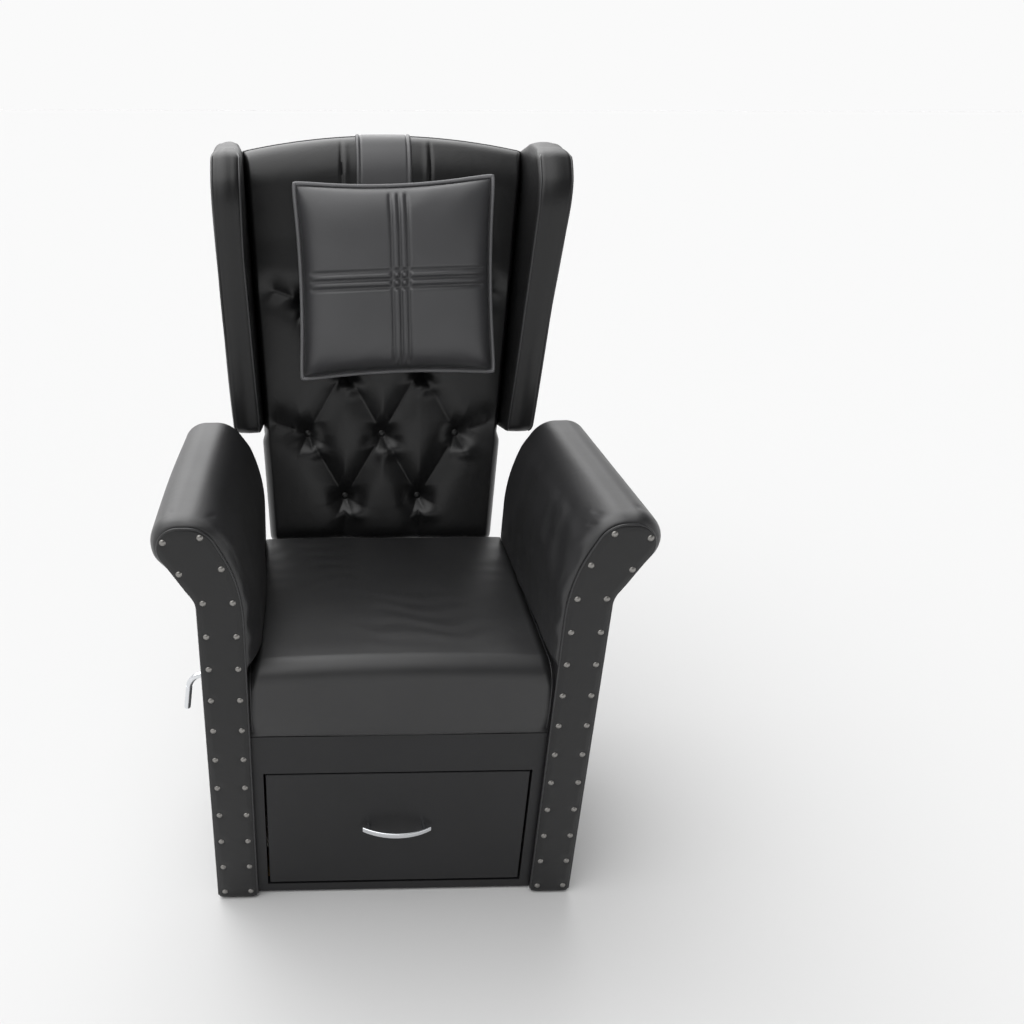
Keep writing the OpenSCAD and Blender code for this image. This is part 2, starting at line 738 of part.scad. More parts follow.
// Backrest, drawn upright in its own frame and then leaned: X across, Y to the rear, Z along it
module leaned() {
    placed() translate([0, back_foot_y, back_foot_z]) rotate([-lean, 0, 0]) children();
}

back_corner_r = 10;
function back_half(v) = back_low_w + (back_top_w - back_low_w) * v / back_l
    - (v < back_corner_r ? back_corner_r - sqrt(max(0, back_corner_r * back_corner_r
        - (back_corner_r - v) * (back_corner_r - v))) : 0);
function back_top(u) = back_l + back_arch * (1 - u * u / back_top_w / back_top_w);

arch_turns = 12;
corner_turns = 4;
corner_least = 1;
// Outline of the backrest, drawn in by d
function corner_r(d) = max(corner_least, back_corner_r - d);
function corner_point(d, t) = let (r = corner_r(d)) [back_low_w - d - r + r * cos(t), d + r + r * sin(t)];
function back_outline(d) = concat(
    [for (i = [0 : corner_turns]) corner_point(d, -90 + 90 * i / corner_turns)],
    [for (i = [0 : arch_turns]) let (u = (back_top_w - d) * (1 - 2 * i / arch_turns)) [u, back_top(u) - d]],
    [for (i = [corner_turns : -1 : 0]) let (p = corner_point(d, -90 + 90 * i / corner_turns)) [-p[0], p[1]]]);

cover_t = 13.7;
frame_inset = cover_t + pad_gap;
frame_rail_w = 24;
arm_flange_w = 34;
arm_room = 6;
flange_low = 17;
flange_high = 150;
arm_bolt_v = [40, 120];

module at_arm_bolts(y0, y1, r) {
    for (x = [-bracket_x, bracket_x], v = arm_bolt_v) bar_y(y0, y1, x - sign(x) * arm_flange_w / 3, v, r);
}

module back_frame() {
    y0 = cushion_t + pad_gap;
    y1 = y0 + back_board_t;
    leaned() color(board_col) difference() {
        upright(y0, back_board_t + rail_depth - pad_gap) polygon(back_outline(frame_inset));
        upright(y1, rail_depth + cut) polygon(back_outline(frame_inset + frame_rail_w));
        for (m = [0, 1]) mirror([m, 0, 0]) span([bracket_x - arm_flange_w - arm_room, y1, -cut],
            [bracket_x + arm_room, y1 + rail_depth + cut, frame_inset + frame_rail_w + cut]);
        at_arm_bolts(y0 - cut, y1 + cut, bolt_hole_r);
    }
}

// The rear cover: a padded shell round the frame, notched where the recline arms leave it
module back_rear_panel() {
    y0 = cushion_t + pad_gap;
    y1 = cushion_t + back_board_t + rail_depth + pad_gap;
    leaned() color(leather_col) difference() {
        upright(y0, back_depth - y0) polygon(back_outline(0));
        upright(y0 - cut, y1 - y0 + cut) polygon(back_outline(cover_t));
        for (m = [0, 1]) mirror([m, 0, 0]) span([bracket_x - web_t / 2 - arm_room, y0 - cut, -cut],
            [bracket_x + web_t / 2 + arm_room, y1, frame_inset + cut]);
    }
}

// Tufted cushion: a height field over its flat rear face. Interior lines pass through the buttons.
tuft_steps = 4;
tuft_cols = 5;
tuft_low = 104;
tuft_rows = 4;
edge_in_shares = [0, 0.02, 0.16, 0.62];
edge_deep_shares = [0, 0.55, 0.86, 0.97];
edge_r = 26;
col_step = tuft_w / 2 / tuft_steps;
row_step = tuft_h / tuft_steps;
grid_margin = 8;
cols_each = floor((back_low_w - edge_r - grid_margin) / col_step);
rows_first = -floor((tuft_low - edge_r - grid_margin) / row_step);
rows_last = floor((back_l - edge_r - grid_margin - tuft_low) / row_step);
edge_n = len(edge_in_shares);
col_n = 2 * cols_each + 1 + 2 * edge_n;
row_n = rows_last - rows_first + 1 + 2 * edge_n;

// The buttons of row r lie at even or at odd half spacings
function row_buttons(r) = r % 2 == 0 ? [-tuft_w / 2, tuft_w / 2] : [-tuft_w, 0, tuft_w];
function all_buttons() = [for (r = [0 : tuft_rows - 1], u = row_buttons(r)) [u, tuft_low + r * tuft_h]];

// Distance from a point to a segment
function seg_dist(p, a, b) = let (t = max(0, min(1, (p - a) * (b - a) / ((b - a) * (b - a))))) norm(p - a - t * (b - a));
tuft_lines = concat(
    [for (a = all_buttons(), b = all_buttons())
        if (b[1] - a[1] == tuft_h && abs(a[0] - b[0]) == tuft_w / 2) [a, b]],
    [for (u = row_buttons(0)) [[u, tuft_low], [u, edge_r]]]);
pit_r = 30;
crease_r = 15;
crease_share = 0.5;

function tuft_at(p) = tuft_depth * max(
    max([for (b = all_buttons()) exp(-pow(norm(p - b) / pit_r, 2))]),
    crease_share * max([for (s = tuft_lines) exp(-pow(seg_dist(p, s[0], s[1]) / crease_r, 2))]));

function col_u(i, v) = i < edge_n ? -back_half(v) + edge_r * edge_in_shares[i]
    : i >= col_n - edge_n ? back_half(v) - edge_r * edge_in_shares[col_n - 1 - i]
    : (i - edge_n - cols_each) * col_step * min(1, (back_half(v) - edge_r * 0.8) / (cols_each * col_step));
function row_v(j) = j < edge_n ? edge_r * edge_in_shares[j]
    : j >= row_n - edge_n ? back_l - edge_r * edge_in_shares[row_n - 1 - j]
    : tuft_low + (j - edge_n + rows_first) * row_step;
function edge_share(i, n) = let (k = min(i, n - 1 - i)) k < edge_n ? edge_deep_shares[k] : 1;

function cushion_point(i, j) =
    let (v0 = row_v(j),
        u = col_u(i, v0),
        v = v0 * back_top(u) / back_l,
        q = u / back_half(max(v0, back_corner_r)),
        w = v0 / back_l,
        crown = cushion_crown * (1 - q * q) * (1 - pow(2 * w - 1, 4)),
        share = min(edge_share(i, col_n), edge_share(j, row_n)),
        deep = share == 0 ? 0 : share * cushion_t + (share > 0.9 ? crown - tuft_at([u, v0]) : 0))
    [u, cushion_t - deep, v];

function grid_rim(n, m) = concat(
    [for (i = [0 : n - 1]) i],
    [for (j = [1 : m - 1]) j * n + n - 1],
    [for (i = [n - 2 : -1 : 0]) (m - 1) * n + i],
    [for (j = [m - 2 : -1 : 1]) j * n]);

module back_cushion() {
    pts = [for (j = [0 : row_n - 1], i = [0 : col_n - 1]) cushion_point(i, j)];
    rim = grid_rim(col_n, row_n);
    faces = concat(
        [for (j = [0 : row_n - 2], i = [0 : col_n - 2]) each
            let (a = j * col_n + i, b = a + 1, c = a + col_n, d = c + 1)
            (i + j) % 2 == 0 ? [[a, c, b], [b, c, d]] : [[a, c, d], [a, d, b]]],
        [for (k = [0 : len(rim) - 1]) [len(pts), rim[k], rim[(k + 1) % len(rim)]]]);
    leaned() color(leather_col)
        polyhedron(points = concat(pts, [[0, cushion_t, back_l / 2]]), faces = faces);
}

button_r = 11;
button_h = 7;
module back_buttons() {
    r = (button_r * button_r + button_h * button_h) / (2 * button_h);
    leaned() color(leather_col) for (b = all_buttons()) {
        q = b[0] / back_half(b[1]);
        w = b[1] / back_l;
        y = -cushion_crown * (1 - q * q) * (1 - pow(2 * w - 1, 4)) + tuft_depth;
        translate([b[0], y, b[1]]) intersection() {
            translate([0, r - button_h, 0]) sphere(r = r);
            bar_y(-button_h - cut, 0, 0, 0, 2 * button_r);
        }
    }
}

// Wings: rings stacked along the backrest, each a rounded slab section
wing_low = 244;
wing_peak = 702;
wing_high = 764;
wing_edge_r = 20;
wing_round_share = 0.42;
// Small rounding of a wing's rear edge, swell of its outer side, and fall of its front above the peak
wing_rear_r = 3;
wing_belly = 2;
wing_fall = 40;
wing_rear = cushion_t + back_board_t + rail_depth;
wing_level_shares = [0, 0.012, 0.05, 0.1, 0.16, 0.24, 0.33, 0.43, 0.53, 0.63, 0.72, 0.8, 0.86, 0.91, 0.955, 0.985, 1];
wing_draw_shares = [0.75, 0.28, 0, 0, 0, 0, 0, 0, 0, 0, 0, 0, 0, 0, 0.12, 0.4, 0.85];

function wing_front(v) = wing_low_reach + (wing_reach - wing_low_reach) * pow((v - wing_low) / (wing_peak - wing_low), 0.85);
function wing_ring(s, draw) =
    let (v = wing_low + (wing_high - wing_low) * s,
        d = wing_edge_r * draw,
        reach = wing_front(min(v, wing_peak)) - wing_fall * pow(max(0, (v - wing_peak) / (wing_high - wing_peak)), 2),
        x0 = back_half(v) + pad_gap + d / 3,
        x1 = x0 + wing_t - d / 3 - d / 2,
        r = min(wing_edge_r, (x1 - x0) * wing_round_share))
    concat(
        [[x1 - wing_rear_r, wing_rear - d], [x1, wing_rear - d - wing_rear_r]],
        [for (k = [0.25, 0.5, 0.75]) [x1 + wing_belly * sin(180 * k),
            (1 - k) * (wing_rear - d - wing_rear_r) + k * (d + r - reach)]],
        [for (t = [0 : 22.5 : 90]) [x1 - r + r * cos(t), -reach + d + r - r * sin(t)]],
        [for (t = [90 : 22.5 : 180]) [x0 + r + r * cos(t), -reach + d + r - r * sin(t)]],
        [[x0, wing_rear - d]]);

module wing_shape() {
    rings = [for (k = [0 : len(wing_level_shares) - 1])
        let (s = wing_level_shares[k], v = wing_low + (wing_high - wing_low) * s)
        [for (p = wing_ring(s, wing_draw_shares[k])) [p[0], p[1], v]]];
    n = len(rings[0]);
    polyhedron(points = [for (r = rings) each r], faces = tube_faces(len(rings), n, fan_cap(n, 0)));
}
module wing_right() { leaned() color(leather_col) wing_shape(); }
module wing_left() { leaned() color(leather_col) on_left() wing_shape(); }

// Recline arms: a flange on the backrest board and a web down to the pivot
flange_t = 5;
flange_y = cushion_t + pad_gap + back_board_t;
pivot_local = let (dy = pivot_y - back_foot_y, dz = pivot_z - back_foot_z)
    [dy * cos(lean) - dz * sin(lean), dy * sin(lean) + dz * cos(lean)];

arm_end_r = ear_r - 2 * ear_gap;
// The web starts inside the round end
arm_root_r = arm_end_r - web_t;
arm_boss_r = pivot_r + web_t;
// Corners of the arm's web: its step under the backrest and its rear corner inside the cover
arm_step_y = 8;
arm_step_drop = 6;
arm_rear_gap = 4;
arm_rear_v = 32;
arm_lean = 20;
arm_front_lean = 45;

module recline_arm_shape() {
    difference() {
        union() {
            span([bracket_x - arm_flange_w, flange_y, flange_low],
                [bracket_x + web_t / 2, flange_y + flange_t, flange_high]);
            sideways(bracket_x - web_t / 2, web_t) {
                translate(pivot_local) circle(r = arm_end_r);
                polygon([pivot_local + arm_root_r * [-sin(arm_front_lean), cos(arm_front_lean)],
                    [pivot_local[0] + arm_step_y, -arm_step_drop],
                    [flange_y, -arm_step_drop], [flange_y, flange_high],
                    [flange_y + rail_depth - arm_rear_gap, arm_rear_v],
                    pivot_local + arm_root_r * [cos(arm_lean), -sin(arm_lean)]]);
            }
            bar_x(bracket_x - boss_t / 2, bracket_x + boss_t / 2, pivot_local[0], pivot_local[1], arm_boss_r);
        }
        bar_x(bracket_x - boss_t, bracket_x + boss_t, pivot_local[0], pivot_local[1], pivot_r + run_gap);
        at_arm_bolts(flange_y - cut, flange_y + flange_t + cut, bolt_hole_r);
        bar_x(bracket_x - boss_t, bracket_x + boss_t, tube_local[0], tube_local[1], tube_r);
    }
}
module recline_arm_right() { leaned() color(steel_col) recline_arm_shape(); }
module recline_arm_left() { leaned() color(steel_col) on_left() recline_arm_shape(); }

module recline_arm_bolts() {
    y0 = cushion_t + pad_gap;
    y1 = flange_y + flange_t;
    leaned() color(steel_col) {
        at_arm_bolts(y0, y1, bolt_r);
        at_arm_bolts(y1, y1 + bolt_head_t, nut_r);
    }
}

// Crank: a cross tube between the recline arms, with two lugs down to the crank pin
tube_r = 11;
tube_wall = 2;
tube_up = 34;
tube_rear = 20;
tube_local = pivot_local + [tube_rear, tube_up];
lug_t = 5;
eye_w = 12;
lug_in = eye_w / 2 + ear_gap;
lug_r = 13;
lug_top_r = 16;
crank_head_r = 7.5;
crank_head_t = 2;
crank_local = let (dy = crank_r * sin(crank_half_turn), dz = -crank_r * cos(crank_half_turn))
    pivot_local + [dy * cos(lean) - dz * sin(lean), dy * sin(lean) + dz * cos(lean)];

// A flat link between two round ends in the YZ plane
module link_outline(a, b, ra, rb) {
    d = norm(b - a);
    u = (b - a) / d;
    s = (ra - rb) / d;
    c = sqrt(1 - s * s);
    n1 = [u[0] * s - u[1] * c, u[1] * s + u[0] * c];
    n2 = [u[0] * s + u[1] * c, u[1] * s - u[0] * c];
    translate(a) circle(r = ra);
    translate(b) circle(r = rb);
    polygon([a + ra * n1, b + rb * n1, b + rb * n2, a + ra * n2]);
}

module crank_tube() {
    tube_half = bracket_x + web_t / 2;
    leaned() color(steel_col) difference() {
        union() {
            bar_x(-tube_half, tube_half, tube_local[0], tube_local[1], tube_r);
            for (x = [-lug_in - lug_t, lug_in])
                sideways(x, lug_t) link_outline(tube_local, crank_local, lug_top_r, lug_r);
        }
        bar_x(-tube_half - cut, tube_half + cut, tube_local[0], tube_local[1], tube_r - tube_wall);
        bar_x(-lug_in - 2 * lug_t, lug_in + 2 * lug_t, crank_local[0], crank_local[1], pivot_r + run_gap);
    }
}

module crank_pin() {
    out = lug_in + lug_t;
    leaned() color(steel_col) {
        bar_x(-out - crank_head_t, out + crank_head_t, crank_local[0], crank_local[1], pivot_r);
        for (x = [-out - crank_head_t, out])
            bar_x(x, x + crank_head_t, crank_local[0], crank_local[1], crank_head_r);
    }
}

// Gas spring, lying level between the crank pin and the front bracket
cylinder_wall = 1.9;
cylinder_reach = 130;
cylinder_front = lever_y + cylinder_reach;
eye_reach = 20;
cylinder_back = crank_y - eye_reach;
cylinder_end_t = 5;
cylinder_edge = 3;
guide_l = 12;
head_reach = 12;
head_y = lever_y + head_reach;
head_l = 26;
head_w = 24;
// How deep the rod stands in the head
rod_seat = 18;
rod_y = head_y + head_l - rod_seat;
piston_l = 14;
piston_rest = 30;
piston_y = cylinder_back - piston_rest - crank_r * 2 * sin(crank_half_turn);
pin_r = 2.5;
pin_out = 6;
pin_in = 16;
rod_bore = 20;
trunnion_r = 5;
trunnion_out = 23;
trunnion_y = head_y + head_l / 2;
// The trunnions ride in holes opened by half the rise of the crank pin
trunnion_gap = 0.35;
trunnion_hole_r = trunnion_r + crank_rise / 2 + trunnion_gap;
eye_r = 12;
neck_half = 10;

module gas_cylinder() {
    r = cylinder_d / 2;
    l = cylinder_back - cylinder_front;
    placed() color(cylinder_col) difference() {
        union() {
            translate([0, cylinder_front, crank_z]) rotate([-90, 0, 0]) rotate_extrude() polygon([
                [rod_d / 2 + run_gap, 0], [r - cylinder_edge / 2, 0], [r, cylinder_edge / 2],
                [r, l - cylinder_edge], [r - cylinder_edge, l], [0, l], [0, l - cylinder_end_t],
                [r - cylinder_wall, l - cylinder_end_t], [r - cylinder_wall, guide_l],
                [rod_d / 2 + run_gap, guide_l]]);
            span([-eye_w / 2, cylinder_back - cut, crank_z - neck_half], [eye_w / 2, crank_y, crank_z + neck_half]);
            bar_x(-eye_w / 2, eye_w / 2, crank_y, crank_z, eye_r);
        }
        bar_x(-eye_w, eye_w, crank_y, crank_z, pivot_r + run_gap);
    }
}

module gas_rod() {
    placed() color(chrome_col) difference() {
        union() {
            bar_y(rod_y, piston_y, 0, crank_z, rod_d / 2);
            bar_y(piston_y, piston_y + piston_l, 0, crank_z, cylinder_d / 2 - cylinder_wall - 2 * run_gap);
        }
        bar_y(rod_y - cut, rod_y + rod_bore, 0, crank_z, pin_r + run_gap);
    }
}

module release_head() {
    placed() color(steel_col) difference() {
        union() {
            span([-head_w / 2, head_y, crank_z - head_w / 2], [head_w / 2, head_y + head_l, crank_z + head_w / 2]);
            bar_x(-trunnion_out, trunnion_out, trunnion_y, crank_z, trunnion_r);
        }
        bar_y(rod_y, head_y + head_l + cut, 0, crank_z, rod_d / 2);
        bar_y(head_y - cut, rod_y + cut, 0, crank_z, pin_r + run_gap);
    }
}

module release_pin() {
    placed() color(chrome_col) bar_y(head_y - pin_out, head_y + pin_in, 0, crank_z, pin_r);
}

// Front bracket of the gas spring, which also carries the lever rod
ear_side_gap = 3;
ear_inner = head_w / 2 + ear_side_gap;
ear_drop = 16;
ear_low = gas_z - ear_drop;
gas_plate_t = 4;
// Bevels of the ears' lower corners
ear_bevel = 9;
gas_head_t = 2.5;

module gas_bracket() {
    placed() color(steel_col) difference() {
        union() {
            span([-gas_bracket_w / 2, gas_bracket_y, seat_level - gas_plate_t],
                [gas_bracket_w / 2, gas_bracket_y + gas_bracket_l, seat_level]);
            for (x = [-ear_inner - ear_t, ear_inner]) sideways(x, ear_t) polygon([
                [gas_bracket_y, seat_level - gas_plate_t / 2], [gas_bracket_y, ear_low + ear_bevel],
                [gas_bracket_y + ear_bevel, ear_low], [gas_bracket_y + gas_bracket_l - ear_bevel, ear_low],
                [gas_bracket_y + gas_bracket_l, ear_low + ear_bevel],
                [gas_bracket_y + gas_bracket_l, seat_level - gas_plate_t / 2]]);
        }
        bar_x(-gas_bracket_w, gas_bracket_w, lever_y, lever_z, lever_d / 2 + run_gap);
        bar_x(-gas_bracket_w, gas_bracket_w, trunnion_y, gas_z, trunnion_hole_r);
        gas_screw_holes(seat_level - gas_plate_t, gas_plate_t);
    }
}

module gas_bracket_screws() {
    placed() color(steel_col) at_gas_screws() {
        translate([0, 0, seat_level - gas_plate_t]) cylinder(r = screw_r, h = gas_plate_t + deck_t);
        translate([0, 0, seat_level - gas_plate_t - gas_head_t]) cylinder(r = 2 * screw_r, h = gas_head_t);
    }
}

// Release lever: a bent bar through the left arm, with a cam over the release pin
bend_r = 30;
lever_straight = 27;
lever_drop = 46;
lever_inner = 34;
bend_turn = 82;
collar_r = 9;
collar_w = 14;
nose_w = 9;
nose_r = 4;
nose_gap = 0.3;
cam_root_share = 0.6;
// The bend is a little thinner than the bar, and its ends reach into the bar by some degrees
bend_thin = 0.25;
bend_lap = 2;
plate_r = 20;
plate_t = 3;

module lever_rod() {
    x0 = -arm_out - lever_straight;
    r = lever_d / 2;
    placed() color(chrome_col) {
        bar_x(x0, lever_inner, lever_y, lever_z, r);
        translate([x0, lever_y, lever_z - bend_r]) rotate([90, 0, 0]) {
            rotate([0, 0, 90 - bend_lap]) rotate_extrude(angle = bend_turn + 2 * bend_lap)
                translate([bend_r, 0]) circle(r = r - bend_thin);
            rotate([0, 0, 90 + bend_turn]) translate([bend_r, 0, 0]) rotate([-90, 0, 0]) {
                cylinder(r = r, h = lever_drop);
                translate([0, 0, lever_drop]) sphere(r = r);
            }
        }
    }
}

module release_cam() {
    nose_y = head_y - pin_out - nose_gap;
    placed() color(steel_col) difference() {
        union() {
            bar_x(-collar_w / 2, collar_w / 2, lever_y, lever_z, collar_r);
            sideways(-nose_w / 2, nose_w) {
                translate([nose_y - nose_r, crank_z]) circle(r = nose_r);
                polygon([[nose_y - 2 * nose_r, crank_z], [nose_y, crank_z],
                    [lever_y + collar_r * cam_root_share, lever_z], [lever_y - collar_r * cam_root_share, lever_z]]);
            }
        }
        bar_x(-collar_w, collar_w, lever_y, lever_z, lever_d / 2);
    }
}

module lever_escutcheon() {
    placed() color(chrome_col) difference() {
        union() {
            bar_x(-arm_out - plate_t, -arm_out, lever_y, lever_z, plate_r);
            bar_x(-arm_out, -side_x, lever_y, lever_z, lever_hole_r - pad_gap);
        }
        bar_x(-arm_out - plate_t - cut, -side_x + cut, lever_y, lever_z, lever_d / 2 + run_gap);
    }
}

// Strap over the top of the backrest, which the pillow clings to
strap_low = 482;
strap_rear_low = 572;
strap_gap = 0.3;
strap_turns = 8;
strap_edge_r = 30;
module pillow_strap() {
    top = back_top(0);
    y_front = -cushion_crown - strap_gap - strap_t;
    y_rear = back_depth + strap_gap;
    edge = strap_edge_r;
    leaned() color(leather_light_col) sideways(-strap_w / 2, strap_w) polygon(concat(
        [[y_front, strap_low]],
        [for (i = [0 : strap_turns]) let (t = 180 - 90 * i / strap_turns)
            [y_front + (edge + strap_t) * (1 + cos(t)), top + strap_gap + strap_t - (edge + strap_t) * (1 - sin(t))]],
        [[y_rear + strap_t / 3, top + strap_gap + strap_t], [y_rear + strap_t, top + strap_gap + strap_t / 3],
         [y_rear + strap_t, strap_rear_low], [y_rear, strap_rear_low], [y_rear, top + strap_gap]],
        [for (i = [strap_turns : -1 : 0]) let (t = 180 - 90 * i / strap_turns)
            [y_front + strap_t + edge * (1 + cos(t)), top + strap_gap - edge * (1 - sin(t))]],
        [[y_front + strap_t, strap_low]]));
}

// Head pillow: two crowned faces on one pointed outline
pillow_v = 534;
pillow_u = 16;
pillow_tilt = -2;
pillow_n = 14;
pillow_draw = 9;
pillow_seam = 7;
pillow_rear = 16;
pillow_y = -cushion_crown - strap_t - 2 * strap_gap;

function pillow_uv(s, t) = [
    s * (pillow_w / 2 - pillow_draw * (1 - t * t)),
    t * (pillow_h / 2 - pillow_draw * (1 - s * s))];
function pillow_full(s, t) = pow(max(0, 1 - s * s), 0.42) * pow(max(0, 1 - t * t), 0.42);
function pillow_rib(s, t) = pillow_seam * max(exp(-pow(s * 9, 2)), exp(-pow(t * 9, 2)));

module head_pillow() {
    n = pillow_n;
    m = n + 1;
    front = [for (j = [0 : n], i = [0 : n]) let (s = 2 * i / n - 1, t = 2 * j / n - 1, p = pillow_uv(s, t),
        f = pillow_full(s, t)) [p[0], -pillow_rear - (pillow_t - pillow_rear) * f + pillow_rib(s, t) * f, p[1]]];
    rear = [for (j = [1 : n - 1], i = [1 : n - 1]) let (s = 2 * i / n - 1, t = 2 * j / n - 1, p = pillow_uv(s, t))
        [p[0], -pillow_rear + pillow_rear * pow(pillow_full(s, t), 0.5), p[1]]];
    base = len(front);
    function at_rear(i, j) = i == 0 || j == 0 || i == n || j == n ? j * m + i : base + (j - 1) * (n - 1) + i - 1;
    faces = [for (j = [0 : n - 1], i = [0 : n - 1]) each
        let (a = j * m + i, b = a + 1, c = a + m, d = c + 1,
            e = at_rear(i, j), f = at_rear(i + 1, j), g = at_rear(i, j + 1), h = at_rear(i + 1, j + 1))
        (i < n / 2) == (j < n / 2) ? [[a, c, d], [a, d, b], [e, h, g], [e, f, h]]
            : [[a, c, b], [b, c, d], [e, f, g], [f, h, g]]];
    leaned() color(leather_light_col) translate([pillow_u, pillow_y, pillow_v]) rotate([0, pillow_tilt, 0])
        polyhedron(points = concat(front, rear), faces = faces);
}

side_frame_left();
side_frame_right();
arm_pad_left();
arm_pad_right();
arm_facing_left();
arm_facing_right();
facing_nails_left();
facing_nails_right();
cabinet_side_left();
cabinet_side_right();
cabinet_bottom();
front_frame();
rear_panel();
seat_front_rail();
seat_deck();
seat_cushion();
floor_glides();
frame_bolts();
runner_channel_left();
runner_channel_right();
front_roller_left();
front_roller_right();
hinge_bracket_left();
hinge_bracket_right();
hinge_bracket_bolts();
pivot_bolts();
gas_bracket();
gas_bracket_screws();
lever_escutcheon();
drawer_front();
drawer_side_left();
drawer_side_right();
drawer_back();
drawer_inner_front();
drawer_bottom();
drawer_handle();
handle_screws();
runner_rail_left();
runner_rail_right();
rear_roller_left();
rear_roller_right();
lever_rod();
release_cam();
gas_cylinder();
gas_rod();
release_head();
release_pin();
back_frame();
back_cushion();
back_buttons();
wing_left();
wing_right();
back_rear_panel();
recline_arm_left();
recline_arm_right();
crank_tube();
crank_pin();
recline_arm_bolts();
pillow_strap();
head_pillow();
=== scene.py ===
"""Looks of a reclining pedicure chair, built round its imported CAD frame.

Lengths are metres in the frame's own axes: +Z up, the sitter faces -Y, and the origin lies on the floor
under the middle of the chair. Every new piece is a surface worked out with numpy on a grid of two
parameters, with its object at the origin.
"""

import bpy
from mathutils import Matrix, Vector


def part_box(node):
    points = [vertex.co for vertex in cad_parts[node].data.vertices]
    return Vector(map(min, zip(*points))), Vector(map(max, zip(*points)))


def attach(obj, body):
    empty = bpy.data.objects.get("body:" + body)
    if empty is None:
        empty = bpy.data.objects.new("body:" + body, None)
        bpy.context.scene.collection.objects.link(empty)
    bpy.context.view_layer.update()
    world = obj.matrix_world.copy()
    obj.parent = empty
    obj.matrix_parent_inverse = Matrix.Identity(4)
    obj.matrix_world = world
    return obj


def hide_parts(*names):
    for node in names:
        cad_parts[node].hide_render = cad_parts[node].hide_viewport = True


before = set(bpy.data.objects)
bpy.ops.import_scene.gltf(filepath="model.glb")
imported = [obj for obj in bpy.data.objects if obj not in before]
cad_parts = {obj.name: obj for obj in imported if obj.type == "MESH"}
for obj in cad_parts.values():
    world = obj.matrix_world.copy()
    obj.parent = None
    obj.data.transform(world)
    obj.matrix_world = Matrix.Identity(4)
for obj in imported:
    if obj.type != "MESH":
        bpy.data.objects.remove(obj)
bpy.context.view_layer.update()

import logging
import math
from dataclasses import dataclass, field
from enum import Enum

import bmesh
import bpy
import numpy as np
from mathutils import Matrix

LOG = logging.getLogger("pedicure_chair")
Array = np.ndarray
Colour = tuple[float, float, float, float]
# Points, one per row, and faces as lists of their indices
Skin = tuple[Array, list]

# The chair's facings lie on Y = -MID_Y, because the frame's origin is under the middle of the box
MID_Y = 0.38283


# Shared maths

def smooth_step(low: float, high: float, value: Array) -> Array:
    """Smooth rise from 0 at low to 1 at high, as 3t^2 - 2t^3.

    Args:
        low: Value at which the rise starts.
        high: Value at which it ends.
        value: Where to work it out.

    Returns:
        The rise, from 0 to 1.
    """
    t = np.clip((value - low) / (high - low), 0.0, 1.0)
    return t * t * (3.0 - 2.0 * t)


def bump(value: Array, centre: float, width: float) -> Array:
    """Bell curve exp(-((value - centre) / width)^2)."""
    return np.exp(-((value - centre) / width) ** 2)


def quarter(radius: float, reach: Array) -> Array:
    """Depth of a quarter round, r - sqrt(r^2 - d^2), at a reach d into it that is held to 0..r."""
    d = np.clip(reach, 0.0, radius)
    return radius - np.sqrt(np.maximum(0.0, radius * radius - d * d))


def unit(rows: Array) -> Array:
    """Vectors, one per row, brought to length 1."""
    return rows / np.linalg.norm(rows, axis=1, keepdims=True)


def arc(centre: tuple[float, float], radius: float, start: float, end: float, count: int) -> Array:
    """Points on an arc, centre + radius (cos, sin), from start to end in degrees.

    Args:
        centre: Centre of the arc.
        radius: Radius of the arc.
        start: First angle in degrees.
        end: Last angle in degrees.
        count: Number of points.

    Returns:
        Array of count points by 2.
    """
    t = np.radians(np.linspace(start, end, count))
    return np.stack([centre[0] + radius * np.cos(t), centre[1] + radius * np.sin(t)], axis=1)


def run_length(points: Array) -> Array:
    """Length along a chain of points up to each of them."""
    steps = np.linalg.norm(np.diff(points, axis=0), axis=1)
    return np.concatenate([[0.0], np.cumsum(steps)])


def resampled(points: Array, count: int) -> Array:
    """The same chain of points with count points at equal spacing.

    Args:
        points: Chain of points, one per row.
        count: Number of points wanted.

    Returns:
        Array of count rows.
    """
    s = run_length(points)
    t = np.linspace(0.0, s[-1], count)
    return np.stack([np.interp(t, s, points[:, k]) for k in range(points.shape[1])], axis=1)


def ripples(angle: Array, seed: int, waves: tuple[float, float], count: int = 6) -> Array:
    """Sum of count sines of angle with seeded wave numbers and phases, scaled to about -1..1.

    Args:
        angle: Where to work it out, in radians.
        seed: Seed of the wave numbers and phases.
        waves: Lowest and highest wave number.
        count: Number of sines.

    Returns:
        The sum, of the shape of angle.
    """
    rng = np.random.default_rng(seed)
    numbers = rng.uniform(waves[0], waves[1], count)
    phases = rng.uniform(0.0, 2.0 * np.pi, count)
    return sum(np.sin(n * angle + p) for n, p in zip(numbers, phases)) / math.sqrt(count)


# Skins from grids and paths

def grid_quads(rows: int, cols: int, wrap: bool = False) -> Array:
    """Quads of a grid whose point (i, j) has index i * cols + j.

    Args:
        rows: Number of rows of points.
        cols: Number of columns of points.
        wrap: Whether the last column joins the first.

    Returns:
        Array of quads by 4 indices.
    """
    i = np.arange(rows - 1)[:, None] * cols
    j = np.arange(cols if wrap else cols - 1)[None, :]
    k = (j + 1) % cols
    return np.stack([i + j, i + k, i + cols + k, i + cols + j], axis=-1).reshape(-1, 4)


def rim_of(rows: int, cols: int) -> Array:
    """Indices of the rim of such a grid, in order round it."""
    return np.concatenate([
        np.arange(cols), np.arange(1, rows) * cols + cols - 1,
        (rows - 1) * cols + np.arange(cols - 2, -1, -1), np.arange(rows - 2, 0, -1) * cols])


